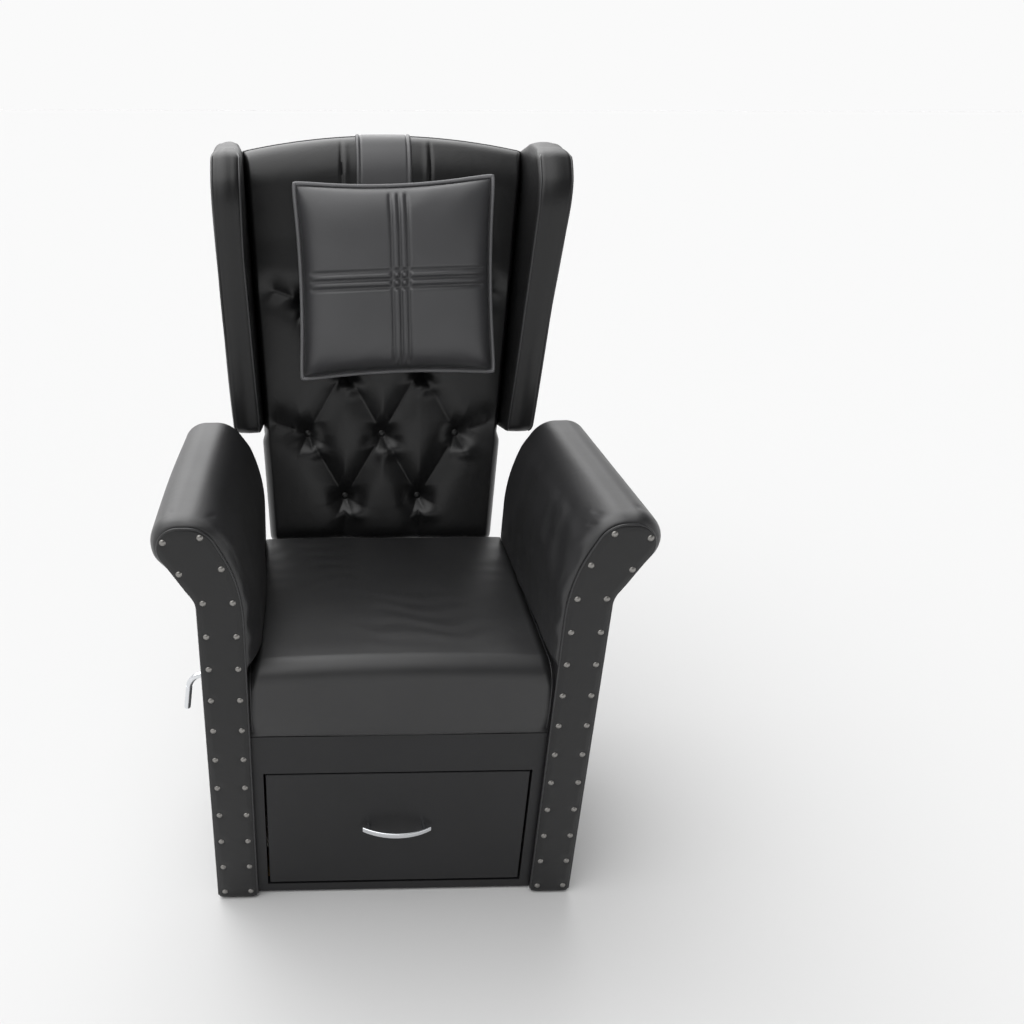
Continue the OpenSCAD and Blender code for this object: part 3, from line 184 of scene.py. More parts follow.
def tube(path: Array, radius: float, side: Array, sides: int = 10, closed: bool = False) -> Skin:
    """Round cord along a path: path + radius (n cos a + b sin a), with n as near to side as can be.

    Args:
        path: Points of the middle line, one per row.
        radius: Radius of the cord.
        side: A direction that is never along the path.
        sides: Number of points round the cord.
        closed: Whether the path ends where it starts, without repeating its first point.

    Returns:
        Points and faces of the cord, with closed ends.
    """
    ahead = np.roll(path, -1, axis=0) - np.roll(path, 1, axis=0) if closed else np.gradient(path, axis=0)
    tangent = unit(ahead)
    n = unit(side - tangent * (tangent @ side)[:, None])
    b = np.cross(tangent, n)
    a = np.linspace(0.0, 2.0 * np.pi, sides, endpoint=False)[None, :, None]
    points = path[:, None, :] + radius * (n[:, None, :] * np.cos(a) + b[:, None, :] * np.sin(a))
    last = (len(path) - 1) * sides
    faces = grid_quads(len(path), sides, wrap=True).tolist()
    if closed:
        faces += [[last + j, last + (j + 1) % sides, (j + 1) % sides, j] for j in range(sides)]
    else:
        faces += [list(range(sides))[::-1], [last + j for j in range(sides)]]
    return points.reshape(-1, 3), faces


def closed_tube(rings: Array) -> Skin:
    """Closed skin over rings of points, one ring per row, with a flat face at each end.

    Args:
        rings: Array of rings by points by 3.

    Returns:
        Points and faces.
    """
    m, n = rings.shape[:2]
    faces = grid_quads(m, n, wrap=True).tolist()
    faces += [list(range(n))[::-1], [(m - 1) * n + j for j in range(n)]]
    return rings.reshape(-1, 3), faces


def sheet_pair(front: Array, rear: Array) -> Skin:
    """Closed skin of two grids that share their rims, which the mesh maker merges.

    Args:
        front: Array of rows by columns by 3.
        rear: Array of the same shape, with the same rim.

    Returns:
        Points and faces, with the rims doubled.
    """
    m, n = front.shape[:2]
    quads = grid_quads(m, n)
    faces = quads.tolist() + (quads[:, ::-1] + m * n).tolist()
    return np.concatenate([front.reshape(-1, 3), rear.reshape(-1, 3)]), faces


def backed_sheet(front: Array) -> Skin:
    """Closed skin of one grid whose rim lies in a plane, with one flat face behind it.

    Args:
        front: Array of rows by columns by 3.

    Returns:
        Points and faces.
    """
    m, n = front.shape[:2]
    return front.reshape(-1, 3), grid_quads(m, n).tolist() + [rim_of(m, n)[::-1].tolist()]


def walled_pair(front: Array, rear: Array) -> Skin:
    """Closed skin of two grids, with a wall between their rims.

    Args:
        front: Array of rows by columns by 3.
        rear: Array of the same shape, behind the front.

    Returns:
        Points and faces.
    """
    m, n = front.shape[:2]
    quads, rim = grid_quads(m, n), rim_of(m, n)
    ahead = np.roll(rim, -1)
    wall = np.stack([rim, ahead, ahead + m * n, rim + m * n], axis=1)
    faces = np.concatenate([quads, quads[:, ::-1] + m * n, wall[:, ::-1]]).tolist()
    return np.concatenate([front.reshape(-1, 3), rear.reshape(-1, 3)]), faces


# Meshes

# Points nearer than this are one point, and edges shorter than the second value are closed up
MERGE, SLIVER = 2e-6, 1e-7


def mesh_object(name: str, skin: Skin, body: str, crisp: float | None = None) -> bpy.types.Object:
    """Puts a skin into a smooth-shaded piece that rides on a CAD body.

    Args:
        name: Name of the piece.
        skin: Its points and faces.
        body: CAD body that carries the piece.
        crisp: Angle in degrees past which an edge stays crisp.

    Returns:
        The new object, at the origin.
    """
    points, faces = skin
    mesh = bpy.data.meshes.new(name)
    mesh.from_pydata(np.asarray(points, float).tolist(), [], faces)
    mesh.validate()
    piece = bpy.data.objects.new(name, mesh)
    bpy.context.scene.collection.objects.link(piece)
    work = bmesh.new()
    work.from_mesh(mesh)
    bmesh.ops.remove_doubles(work, verts=work.verts, dist=MERGE)
    bmesh.ops.dissolve_degenerate(work, edges=work.edges, dist=SLIVER)
    bmesh.ops.recalc_face_normals(work, faces=work.faces)
    work.to_mesh(mesh)
    work.free()
    mesh.polygons.foreach_set("use_smooth", [True] * len(mesh.polygons))
    mesh.update()
    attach(piece, body)
    if crisp:
        mesh.set_sharp_from_angle(angle=math.radians(crisp))
    LOG.info("piece %s: %d faces", name, len(mesh.polygons))
    return piece


# Finishes

def to_linear(code: str) -> Colour:
    """Linear colour of an sRGB hex value, by the sRGB curve ((c + 0.055) / 1.055)^2.4.

    Args:
        code: Hex value such as "#1c1c1e".

    Returns:
        Red, green, blue and 1.
    """
    raw = [int(code[k:k + 2], 16) / 255.0 for k in (1, 3, 5)]
    r, g, b = [c / 12.92 if c <= 0.04045 else ((c + 0.055) / 1.055) ** 2.4 for c in raw]
    return r, g, b, 1.0


def plug(tree: bpy.types.NodeTree, node: bpy.types.Node, inputs: dict, links: dict) -> None:
    """Sets a node's socket values and links.

    Args:
        tree: Node tree of the material.
        node: The node.
        inputs: Input socket name or number to value.
        links: Input socket name or number to the output socket that feeds it.
    """
    for key, value in inputs.items():
        node.inputs[key].default_value = value
    for key, value in links.items():
        tree.links.new(value, node.inputs[key])


def add_node(tree: bpy.types.NodeTree, kind: str, settings: dict | None = None, inputs: dict | None = None,
             links: dict | None = None) -> bpy.types.Node:
    """Adds a shader node with its settings, socket values and links.

    Args:
        tree: Node tree of the material.
        kind: Type name of the node.
        settings: Attribute name to value.
        inputs: Input socket name or number to value.
        links: Input socket name or number to the output socket that feeds it.

    Returns:
        The new node.
    """
    node = tree.nodes.new(kind)
    for key, value in (settings or {}).items():
        setattr(node, key, value)
    plug(tree, node, inputs or {}, links or {})
    return node


@dataclass
class Coat:
    """A material in the making: its node tree, its shader and the Object coordinates that it reads."""

    name: str
    made: bpy.types.Material = field(init=False)
    tree: bpy.types.NodeTree = field(init=False)
    shader: bpy.types.Node = field(init=False)
    at: bpy.types.NodeSocket = field(init=False)

    def __post_init__(self) -> None:
        """Makes the material."""
        self.made = bpy.data.materials.new(self.name)
        self.made.use_nodes = True
        self.tree = self.made.node_tree
        self.shader = self.tree.nodes["Principled BSDF"]
        self.at = add_node(self.tree, "ShaderNodeTexCoord").outputs["Object"]

    def noise(self, scale: float, **inputs: float) -> bpy.types.Node:
        """Adds a noise pattern of so many features to a metre, with further values by socket name."""
        return add_node(self.tree, "ShaderNodeTexNoise", {}, {"Scale": scale} | inputs, {"Vector": self.at})

    def relief(self, height: bpy.types.NodeSocket, distance: float, strength: float,
               under: bpy.types.NodeSocket | None = None) -> bpy.types.NodeSocket:
        """Adds relief from a pattern.

        Args:
            height: The pattern.
            distance: Height of the relief.
            strength: Its share, from 0 to 1.
            under: Normal of the coarser relief that it lies on.

        Returns:
            The socket with the normal.
        """
        links = {"Height": height} | ({"Normal": under} if under else {})
        values = {"Strength": strength, "Distance": distance}
        return add_node(self.tree, "ShaderNodeBump", {}, values, links).outputs["Normal"]

    def between(self, low: float, high: float, pattern: bpy.types.NodeSocket) -> bpy.types.NodeSocket:
        """Adds a value that runs from low to high with a pattern."""
        spread = add_node(self.tree, "ShaderNodeMapRange", {}, {"To Min": low, "To Max": high},
                          {"Value": pattern})
        return spread.outputs["Result"]

    def tint(self, first: str, second: str, pattern: bpy.types.NodeSocket) -> bpy.types.NodeSocket:
        """Adds a colour that runs from the first hex value to the second with a pattern."""
        colours = {"A": to_linear(first), "B": to_linear(second)}
        return add_node(self.tree, "ShaderNodeMix", {"data_type": "RGBA"}, colours,
                        {"Factor": pattern}).outputs["Result"]


@dataclass(frozen=True)
class Leather:
    """Corrected-grain upholstery leather: dyed through, embossed with a fine pebble, sealed by a topcoat."""

    name: str
    dark: str = "#121213"
    light: str = "#1c1c1e"
    roughness: float = 0.42
    # Pebbles of the emboss are 0.9 mm apart on the hide and are drawn 1.6 mm apart so that they show
    pebble: float = 0.0016
    relief: float = 0.00012
    # Soft creases and stretch marks lie about 30 mm apart
    crease: float = 0.030
    crease_relief: float = 0.0005
    # Clouds of the dye to a metre, and how far they change the gloss
    clouds: float = 9.0
    gloss_change: tuple[float, float] = (-0.05, 0.07)
    # Gloss of the dyed hide, and the clear topcoat over it, which gives the satin sheen
    specular: float = 0.5
    topcoat: float = 0.2
    topcoat_roughness: float = 0.35

    def material(self) -> bpy.types.Material:
        """Builds the material: pebble cells and creases as relief, and cloudy dye as colour.

        Returns:
            The material.
        """
        coat = Coat(self.name)
        cells = add_node(coat.tree, "ShaderNodeTexVoronoi", {"feature": "F1"},
                         {"Scale": 1.0 / self.pebble, "Randomness": 0.9}, {"Vector": coat.at})
        folds = coat.noise(1.0 / self.crease, Detail=3.0, Roughness=0.55, Distortion=0.6)
        cloud = coat.noise(self.clouds, Detail=2.0).outputs["Fac"]
        coarse = coat.relief(folds.outputs["Fac"], self.crease_relief, 1.0)
        less, more = self.gloss_change
        plug(coat.tree, coat.shader,
             {"Specular IOR Level": self.specular, "Coat Weight": self.topcoat,
              "Coat Roughness": self.topcoat_roughness},
             {"Base Color": coat.tint(self.dark, self.light, cloud),
              "Roughness": coat.between(self.roughness + less, self.roughness + more, cloud),
              "Normal": coat.relief(cells.outputs["Distance"], self.relief, 0.7, coarse)})
        return coat.made


@dataclass(frozen=True)
class Metal:
    """Bare, plated or painted metal with a fine brushed or cast texture."""

    name: str
    colour: str
    roughness: float
    # Marks of the finish, in metres apart
    grain: float = 0.0008
    relief: float = 0.00003
    metallic: float = 1.0
    # Hazy patches to a metre, and the shares of roughness between which they change
    haze: float = 60.0
    gloss_change: tuple[float, float] = (0.8, 1.25)

    def material(self) -> bpy.types.Material:
        """Builds the material: one metal colour, with noise as relief and as change of gloss.

        Returns:
            The material.
        """
        coat = Coat(self.name)
        marks = coat.noise(1.0 / self.grain, Detail=2.0).outputs["Fac"]
        haze = coat.noise(self.haze, Detail=2.0).outputs["Fac"]
        less, more = self.gloss_change
        plug(coat.tree, coat.shader,
             {"Base Color": to_linear(self.colour), "Metallic": self.metallic},
             {"Roughness": coat.between(self.roughness * less, self.roughness * more, haze),
              "Normal": coat.relief(marks, self.relief, 0.5)})
        return coat.made


@dataclass(frozen=True)
class Moulded:
    """Injection-moulded nylon with a light spark-eroded texture."""

    name: str
    colour: str
    roughness: float = 0.45
    # The mould's texture is 0.4 mm apart and drawn at 0.6 mm
    grain: float = 0.0006
    relief: float = 0.00004

    def material(self) -> bpy.types.Material:
        """Builds the material: one colour with fine relief.

        Returns:
            The material.
        """
        coat = Coat(self.name)
        grain = coat.noise(1.0 / self.grain).outputs["Fac"]
        plug(coat.tree, coat.shader, {"Base Color": to_linear(self.colour), "Roughness": self.roughness},
             {"Normal": coat.relief(grain, self.relief, 0.4)})
        return coat.made


@dataclass(frozen=True)
class Plywood:
    """Birch plywood: rotary-cut veneer with long grain lines."""

    name: str
    pale: str = "#c9a878"
    brown: str = "#a57f4f"
    roughness: float = 0.62
    # Grain lines 4 mm apart and about 70 mm long
    lines: tuple[float, float, float] = (250.0, 250.0, 14.0)
    relief: float = 0.0001

    def material(self) -> bpy.types.Material:
        """Builds the material: stretched noise as grain lines.

        Returns:
            The material.
        """
        coat = Coat(self.name)
        turned = add_node(coat.tree, "ShaderNodeMapping", {}, {"Scale": self.lines}, {"Vector": coat.at})
        grain = add_node(coat.tree, "ShaderNodeTexNoise", {}, {"Scale": 1.0, "Detail": 4.0},
                         {"Vector": turned.outputs["Vector"]}).outputs["Fac"]
        plug(coat.tree, coat.shader, {"Roughness": self.roughness},
             {"Base Color": coat.tint(self.pale, self.brown, grain),
              "Normal": coat.relief(grain, self.relief, 0.3)})
        return coat.made


class Finish(Enum):
    """The finishes of the chair."""

    # Embossed and sealed cowhide on facings, wings and rear cover: near black, with a low satin sheen
    BLACK = Leather("black_satin_leather", dark="#0c0c0d", light="#141415", specular=0.38, topcoat=0.2)
    # Semi-aniline hide drawn tight over the tufts: the deepest black, with small highlights on the folds
    BACK = Leather("black_semi_aniline_leather", dark="#0b0b0c", light="#131314", roughness=0.36,
                   specular=0.42, topcoat=0.1)
    # The same hide on the arms, worn by sleeves: charcoal, with a broad and cloudy sheen
    CHARCOAL = Leather("charcoal_worn_leather", dark="#121213", light="#1e1e20", roughness=0.46, topcoat=0.5,
                       topcoat_roughness=0.45)
    # The seat's hide, sat smooth: a shade paler, with a soft band of light on the front edge
    SEAT = Leather("charcoal_seat_leather", dark="#161617", light="#232324", roughness=0.44, specular=0.42,
                   topcoat=0.45, topcoat_roughness=0.40)
    # Matt-sealed hide of pillow and strap: dark grey, so that both stand out from the black back
    PILLOW = Leather("charcoal_pillow_leather", dark="#333335", light="#434345", roughness=0.50, topcoat=0.5)
    # Painted highlight: the pillow's piping is painted paler than its panels, and draws its outline
    PILLOW_CORD = Leather("grey_pillow_piping", dark="#6a6a6c", light="#78787a", roughness=0.42,
                          relief=0.00008)
    # Black hide round a cord, painted paler than the black leather as a painted highlight: with the cord's
    # own shine, a thin line of light along each seam
    PIPING = Leather("black_piping_leather", dark="#19191a", light="#262628", roughness=0.38, relief=0.00008)
    # Calendered leatherette glued on board: flat and even, with a dull sheen
    BOARD = Leather("black_leatherette_on_board", dark="#161617", light="#1e1e20", roughness=0.44,
                    specular=0.4, topcoat=0.0, crease_relief=0.0001)
    # Sanded raw birch inside the drawer: warm and matt, with fine brown lines
    PLY = Plywood("raw_birch_plywood")
    # The same board with black stain where its edges may show: dull black, with the grain just seen
    STAINED_PLY = Plywood("black_stained_birch_plywood", pale="#23211f", brown="#171614")
    # Zinc-plated pressed steel of brackets and screws: pale bluish grey with blurred reflections
    ZINC = Metal("bright_zinc_plated_steel", "#b9bcc0", 0.34)
    # Powder coat on the recline arms: even soft black
    COATED = Metal("black_powder_coated_steel", "#1d1e20", 0.48, metallic=0.0)
    # Baked enamel of the drawer runners: smooth warm white
    ENAMEL = Metal("off_white_enamelled_steel", "#dcd9d0", 0.35, metallic=0.0)
    # Polished chrome of handle, lever and rod: near white with clear reflections
    CHROME = Metal("polished_chrome", "#e3e5e8", 0.12, relief=0.000005)
    # Stoved enamel on the gas spring: glossy black with a blue tinge
    BLACK_STEEL = Metal("black_enamelled_cylinder", "#2a2b2e", 0.3, metallic=0.0)
    # Moulded nylon of rollers and glides: milky white and slightly waxy
    NYLON = Moulded("off_white_nylon", "#d8d5cb")
    # Aged pewter plate on domed nails: mid grey, each with one soft highlight
    PEWTER = Metal("antique_pewter_nails", "#8f8d8a", 0.34)


MATERIALS: dict[Finish, bpy.types.Material] = {}


def dress(piece: bpy.types.Object, finish: Finish) -> None:
    """Gives a piece its material, made once for each finish.

    Args:
        piece: Object to dress.
        finish: Its finish.
    """
    if finish not in MATERIALS:
        MATERIALS[finish] = finish.value.material()
    piece.data.materials.clear()
    piece.data.materials.append(MATERIALS[finish])


class Side(Enum):
    """The two sides, as somebody who looks at the chair's front sees them."""

    LEFT = -1
    RIGHT = 1

    @property
    def word(self) -> str:
        """Lower-case name, as CAD nodes end in it."""
        return self.name.lower()


# Arms

@dataclass
class ScrollArm:
    """One arm: a padded roll over a flat side, a nailed facing, and the welt between them."""

    side: Side
    # Outer and inner side of the arm under the scroll, underside, top, and depth from front to rear
    outer: float = 0.315
    inner: float = 0.247
    foot: float = 0.0056
    top: float = 0.742
    depth: float = 0.450
    # Radii of the scroll and its lip, the flat between them, and how far the scroll stands out
    scroll_r: float = 0.046
    lip_r: float = 0.036
    scroll_flat: float = 0.0135
    scroll_out: float = 0.007
    # Slopes under the lip and of the inner side in degrees, with the radii that end them
    lip_slope: float = 36.0
    rake: float = 25.0
    hollow_r: float = 0.040
    inner_r: float = 0.300
    # Swell of the padding over the top, what the outer lip has more, and the swell over the seat
    swell: float = 0.0072
    lip_swell: float = 0.0040
    side_swell: float = 0.0115
    # The left pad leans further over the seat in front
    lean_over: dict[Side, float] = field(default_factory=lambda: {Side.LEFT: 0.0110, Side.RIGHT: 0.0})
    side_from: tuple[float, float] = (0.480, 0.504)
    # Height of the soft dents on the inner side, which the photo shows on the right arm
    mottle: dict[Side, float] = field(default_factory=lambda: {Side.LEFT: 0.0005, Side.RIGHT: 0.0018})
    # Gathers behind the facing and slow waves of the padding
    gather: float = 0.0022
    wave: float = 0.0011
    # Short creases near the facing: direction of the skin in degrees, distance behind the front, slant
    creases: tuple[tuple[float, float, float], ...] = (
        (128.0, 0.050, 0.35), (146.0, 0.034, 0.50), (70.0, 0.046, -0.20))
    crease_depth: float = 0.0017
    crease_size: tuple[float, float] = (0.0026, 0.010)
    # The pad's front and rear edge, its start behind the facing, and how far the facing's rim is tucked in
    edge_r: float = 0.026
    rear_r: float = 0.016
    pad_from: float = 0.0068
    tuck: float = 0.0032
    lip_tuck: float = 0.0020
    # The facing's rounded rim, its padding between the nails, and the dimple round each nail
    facing_r: float = 0.0035
    facing_puff: float = 0.0016
    dimple: float = 0.0085
    welt_r: float = 0.0019
    # The row of nails: their number, how far it lies inside the outline, and the height at which it starts
    nails: int = 26
    nail_inset: float = 0.011
    lowest_nail: float = 0.017
    outline: Array = field(init=False)
    normal: Array = field(init=False)
    rim: Array = field(init=False)
    scroll_z: float = field(init=False)
    hollow_z: float = field(init=False)
    rake_z: float = field(init=False)

    def __post_init__(self) -> None:
        """Works out the arm's outline: foot, hollow, lip, scroll and inner side as one chain of arcs."""
        c = (self.outer + self.scroll_out, self.top - self.scroll_r)
        lip = (c[0] + self.scroll_flat, self.top - self.lip_r)
        s, k = math.radians(self.lip_slope), math.radians(self.rake)
        end = (lip[0] + self.lip_r * math.cos(s), lip[1] - self.lip_r * math.sin(s))
        back = end[0] - self.outer - self.hollow_r * (1.0 - math.cos(s))
        self.hollow_z = end[1] - self.hollow_r * math.sin(s) - back / math.tan(s)
        rake_top = (c[0] - self.scroll_r * math.cos(k), c[1] + self.scroll_r * math.sin(k))
        rake_run = rake_top[0] - self.inner - self.inner_r * (1 - math.cos(k))
        inner_z = rake_top[1] - self.inner_r * math.sin(k) - rake_run / math.tan(k)
        self.scroll_z, self.rake_z = c[1], rake_top[1]
        chain = np.concatenate([
            [[self.outer, self.foot]],
            arc((self.outer + self.hollow_r, self.hollow_z), self.hollow_r, 180, 180 - self.lip_slope, 24),
            arc(lip, self.lip_r, -self.lip_slope, 90, 40),
            arc(c, self.scroll_r, 90, 180 - self.rake, 32),
            arc((self.inner + self.inner_r, inner_z), self.inner_r, 180 - self.rake, 180, 20),
            [[self.inner, self.foot]]])
        self.outline = resampled(chain, 560)
        t = unit(np.gradient(self.outline, axis=0))
        self.normal = np.stack([t[:, 1], -t[:, 0]], axis=1)
        z, outward = self.outline[:, 1], np.maximum(self.normal[:, 0], 0.0)
        fade = np.where(np.arange(len(z)) <= np.argmax(z),
                        smooth_step(self.hollow_z + 0.02, self.scroll_z - 0.01, z),
                        smooth_step(self.rake_z - 0.07, self.rake_z + 0.01, z))
        self.rim = self.outline - self.normal * (fade * (self.tuck + self.lip_tuck * outward))[:, None]

    def placed(self, x: Array, y: Array, z: Array) -> Array:
        """Points of the right arm, mirrored for the left one, in the frame's axes."""
        return np.stack([x * self.side.value, y - MID_Y + 0.0 * x, z + 0.0 * x], axis=-1)

    def zones(self) -> tuple[Array, Array]:
        """Where the outline belongs to the roll, and where to the padded side over the seat.

        Returns:
            Two shares from 0 to 1 for each point of the outline.
        """
        z = self.outline[:, 1]
        inward = (np.arange(len(z)) > np.argmax(z)) * (
            1.0 - smooth_step(self.rake_z - 0.025, self.rake_z + 0.010, z))
        roll = smooth_step(self.hollow_z, self.scroll_z, z) * (1.0 - inward)
        return roll[None, :], (smooth_step(*self.side_from, z) * inward)[None, :]

    def relief(self, s: Array, y: Array, side: Array) -> Array:
        """Gathers that fade within 40 mm of the facing, slow waves, and dents on the side, as sums of sines.

        Args:
            s: Length along the outline.
            y: Distance behind the facing's front, one per row.
            side: Share of the padded side.

        Returns:
            Height of the relief.
        """
        seed = self.side.value
        near = np.exp(-(y - y[0]) / 0.022) * smooth_step(0.0, 0.008, y - y[0])
        folds = self.gather * near * ripples(s / 0.011, 11 + seed, (0.7, 1.5))
        slow = self.wave * ripples(s / 0.09, 5 + seed, (0.5, 1.3)) * np.sin(
            y / 0.075 + 1.3 * ripples(s / 0.2, 8, (0.5, 1.0)))
        dents = ripples(s / 0.016 + y / 0.024, 21 + seed, (0.6, 1.4)) * ripples(
            y / 0.020 - s / 0.034, 31, (0.6, 1.4))
        rear_calm = 1.0 - smooth_step(0.30, 0.40, y)
        return folds + slow + self.mottle[self.side] * side * rear_calm * dents

    def nips(self, s: Array, y: Array) -> Array:
        """Depth of the short creases of the leather near the facing, as bell curves across and along them.

        Args:
            s: Length along the outline.
            y: Distance behind the facing's front.

        Returns:
            The depth, with 15 mm long creases drawn a little slantwise.
        """
        way = np.degrees(np.arctan2(self.normal[:, 1], self.normal[:, 0]))
        narrow, long = self.crease_size
        depth = np.zeros_like(s * y)
        for angle, middle, slant in self.creases:
            at = s[0, int(np.argmin(np.abs(way - angle)))]
            across = bump(s - at - slant * (y - middle), 0.0, narrow)
            depth += self.crease_depth * across * bump(y, middle, long)
        return depth

    def pad(self) -> bpy.types.Object:
        """Builds the padded roll: the outline moved out by swell(z) sin(a) as the front edge turns by a.

        Returns:
            The pad, which stands for the CAD pad.
        """
        a = np.linspace(0.0, np.pi / 2, 16)
        middle = np.linspace(0.0, 1.0, 102)[1:-1]
        start, stop = self.pad_from + self.edge_r, self.depth - self.rear_r
        y = np.concatenate([self.pad_from + self.edge_r * (1 - np.cos(a)), start + (stop - start) * middle,
                            self.depth - self.rear_r * (1 - np.sin(a))])[:, None]
        rise = np.concatenate([np.sin(a), np.ones(len(middle) + len(a))])[:, None]
        drop = np.concatenate([np.zeros(len(a) + len(middle)), self.rear_r * (1 - np.cos(a))])[:, None]
        x0, z0 = self.outline[:, 0], self.outline[:, 1]
        nx, nz = self.normal[:, 0], self.normal[:, 1]
        s = run_length(self.outline)[None, :]
        roll, side = self.zones()
        lean = self.lean_over[self.side] * smooth_step(0.0, 0.07, y) * (1.0 - smooth_step(0.20, 0.40, y))
        swell = (self.swell + self.lip_swell * np.maximum(nx, 0.0))[None, :] * roll + side * (
            self.side_swell + lean * (1.0 - smooth_step(0.53, 0.66, z0))[None, :])
        tucked = np.linalg.norm(self.rim - self.outline, axis=1)[None, :]
        d = (swell + tucked) * rise - tucked
        soft = (roll + side) * rise
        d = np.minimum(d + self.relief(s, y, side) * soft, d + 0.002) - drop - self.nips(s, y) * soft
        x = x0[None, :] + nx[None, :] * d
        z = np.maximum(z0[None, :] + nz[None, :] * d, self.foot)
        piece = mesh_object(f"arm_roll_{self.side.word}", closed_tube(self.placed(x, y, z)),
                            "chair_base", crisp=60)
        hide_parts(f"arm_pad_{self.side.word}")
        dress(piece, Finish.CHARCOAL)
        return piece

    def width_at(self, z: Array) -> tuple[Array, Array]:
        """Inner and outer x of the facing at each height.

        Args:
            z: Heights.

        Returns:
            The inner and the outer x.
        """
        top = int(np.argmax(self.rim[:, 1]))
        out, inn = self.rim[:top + 1], self.rim[top:][::-1]
        return np.interp(z, inn[:, 1], inn[:, 0]), np.interp(z, out[:, 1], out[:, 0])

    def nail_places(self) -> Array:
        """Centres of the nails, at equal spacing along a line inside the outline."""
        path = self.outline - self.nail_inset * self.normal
        return resampled(path[path[:, 1] > self.lowest_nail], self.nails)

    def facing(self) -> bpy.types.Object:
        """Builds the facing: a board under leather, rounded within r of the rim and dimpled at the nails.

        The front lies at r - sqrt(r^2 - d^2), with d the reach into the rounding, less the padding between
        the nails, which is puff (1 - sum of exp(-(distance / dimple)^2)).

        Returns:
            The facing, which stands for the CAD facing.
        """
        rows, cols, slice_size = 300, 45, 70
        f = np.linspace(0.0, 1.0, rows)
        # Rows crowd towards the top, where the scroll closes
        z = self.foot + (self.rim[:, 1].max() - self.foot) * (1.0 - (1.0 - f) ** 1.6)
        low, high = self.width_at(z)
        w = 0.5 - 0.5 * np.cos(np.pi * np.linspace(0.0, 1.0, cols))
        x = low[:, None] + (high - low)[:, None] * w[None, :]
        z = np.broadcast_to(z[:, None], x.shape)
        flat = np.stack([x.ravel(), z.ravel()], axis=1)[:, None, :]
        # The rim is taken in slices, which spares memory
        reach = np.full(len(flat), 1.0)
        for start in range(0, len(self.rim), slice_size):
            part = self.rim[start:start + slice_size]
            reach = np.minimum(reach, np.linalg.norm(flat - part[None, :, :], axis=2).min(axis=1))
        reach = reach.reshape(x.shape)
        away = np.linalg.norm(flat - self.nail_places()[None, :, :], axis=2)
        dip = np.minimum(bump(away, 0.0, self.dimple).sum(axis=1), 1.0).reshape(x.shape)
        y = quarter(self.facing_r, self.facing_r - reach)
        y = y - self.facing_puff * smooth_step(0.001, 0.010, reach) * (1.0 - dip)
        skin = walled_pair(self.placed(x, y, z), self.placed(x, np.full_like(x, self.pad_from), z))
        piece = mesh_object(f"facing_leather_{self.side.word}", skin, "chair_base")
        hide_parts(f"arm_facing_{self.side.word}")
        dress(piece, Finish.BLACK)
        return piece

    def welt(self) -> bpy.types.Object:
        """Builds the piping that runs round the facing, a cord of 4 mm on its rim.

        Returns:
            The cord.
        """
        keep = self.rim[:, 1] > self.foot + 0.002
        flat = self.rim[keep] + 0.0003 * self.normal[keep]
        path = self.placed(flat[:, 0], np.full(len(flat), 0.0026), flat[:, 1])
        skin = tube(path, self.welt_r, np.array([0.0, 1.0, 0.0]))
        piece = mesh_object(f"facing_welt_{self.side.word}", skin, "chair_base")
        dress(piece, Finish.PIPING)
        return piece

    def build(self) -> None:
        """Builds and dresses the arm."""
        self.pad()
        self.facing()
        self.welt()


# Seat

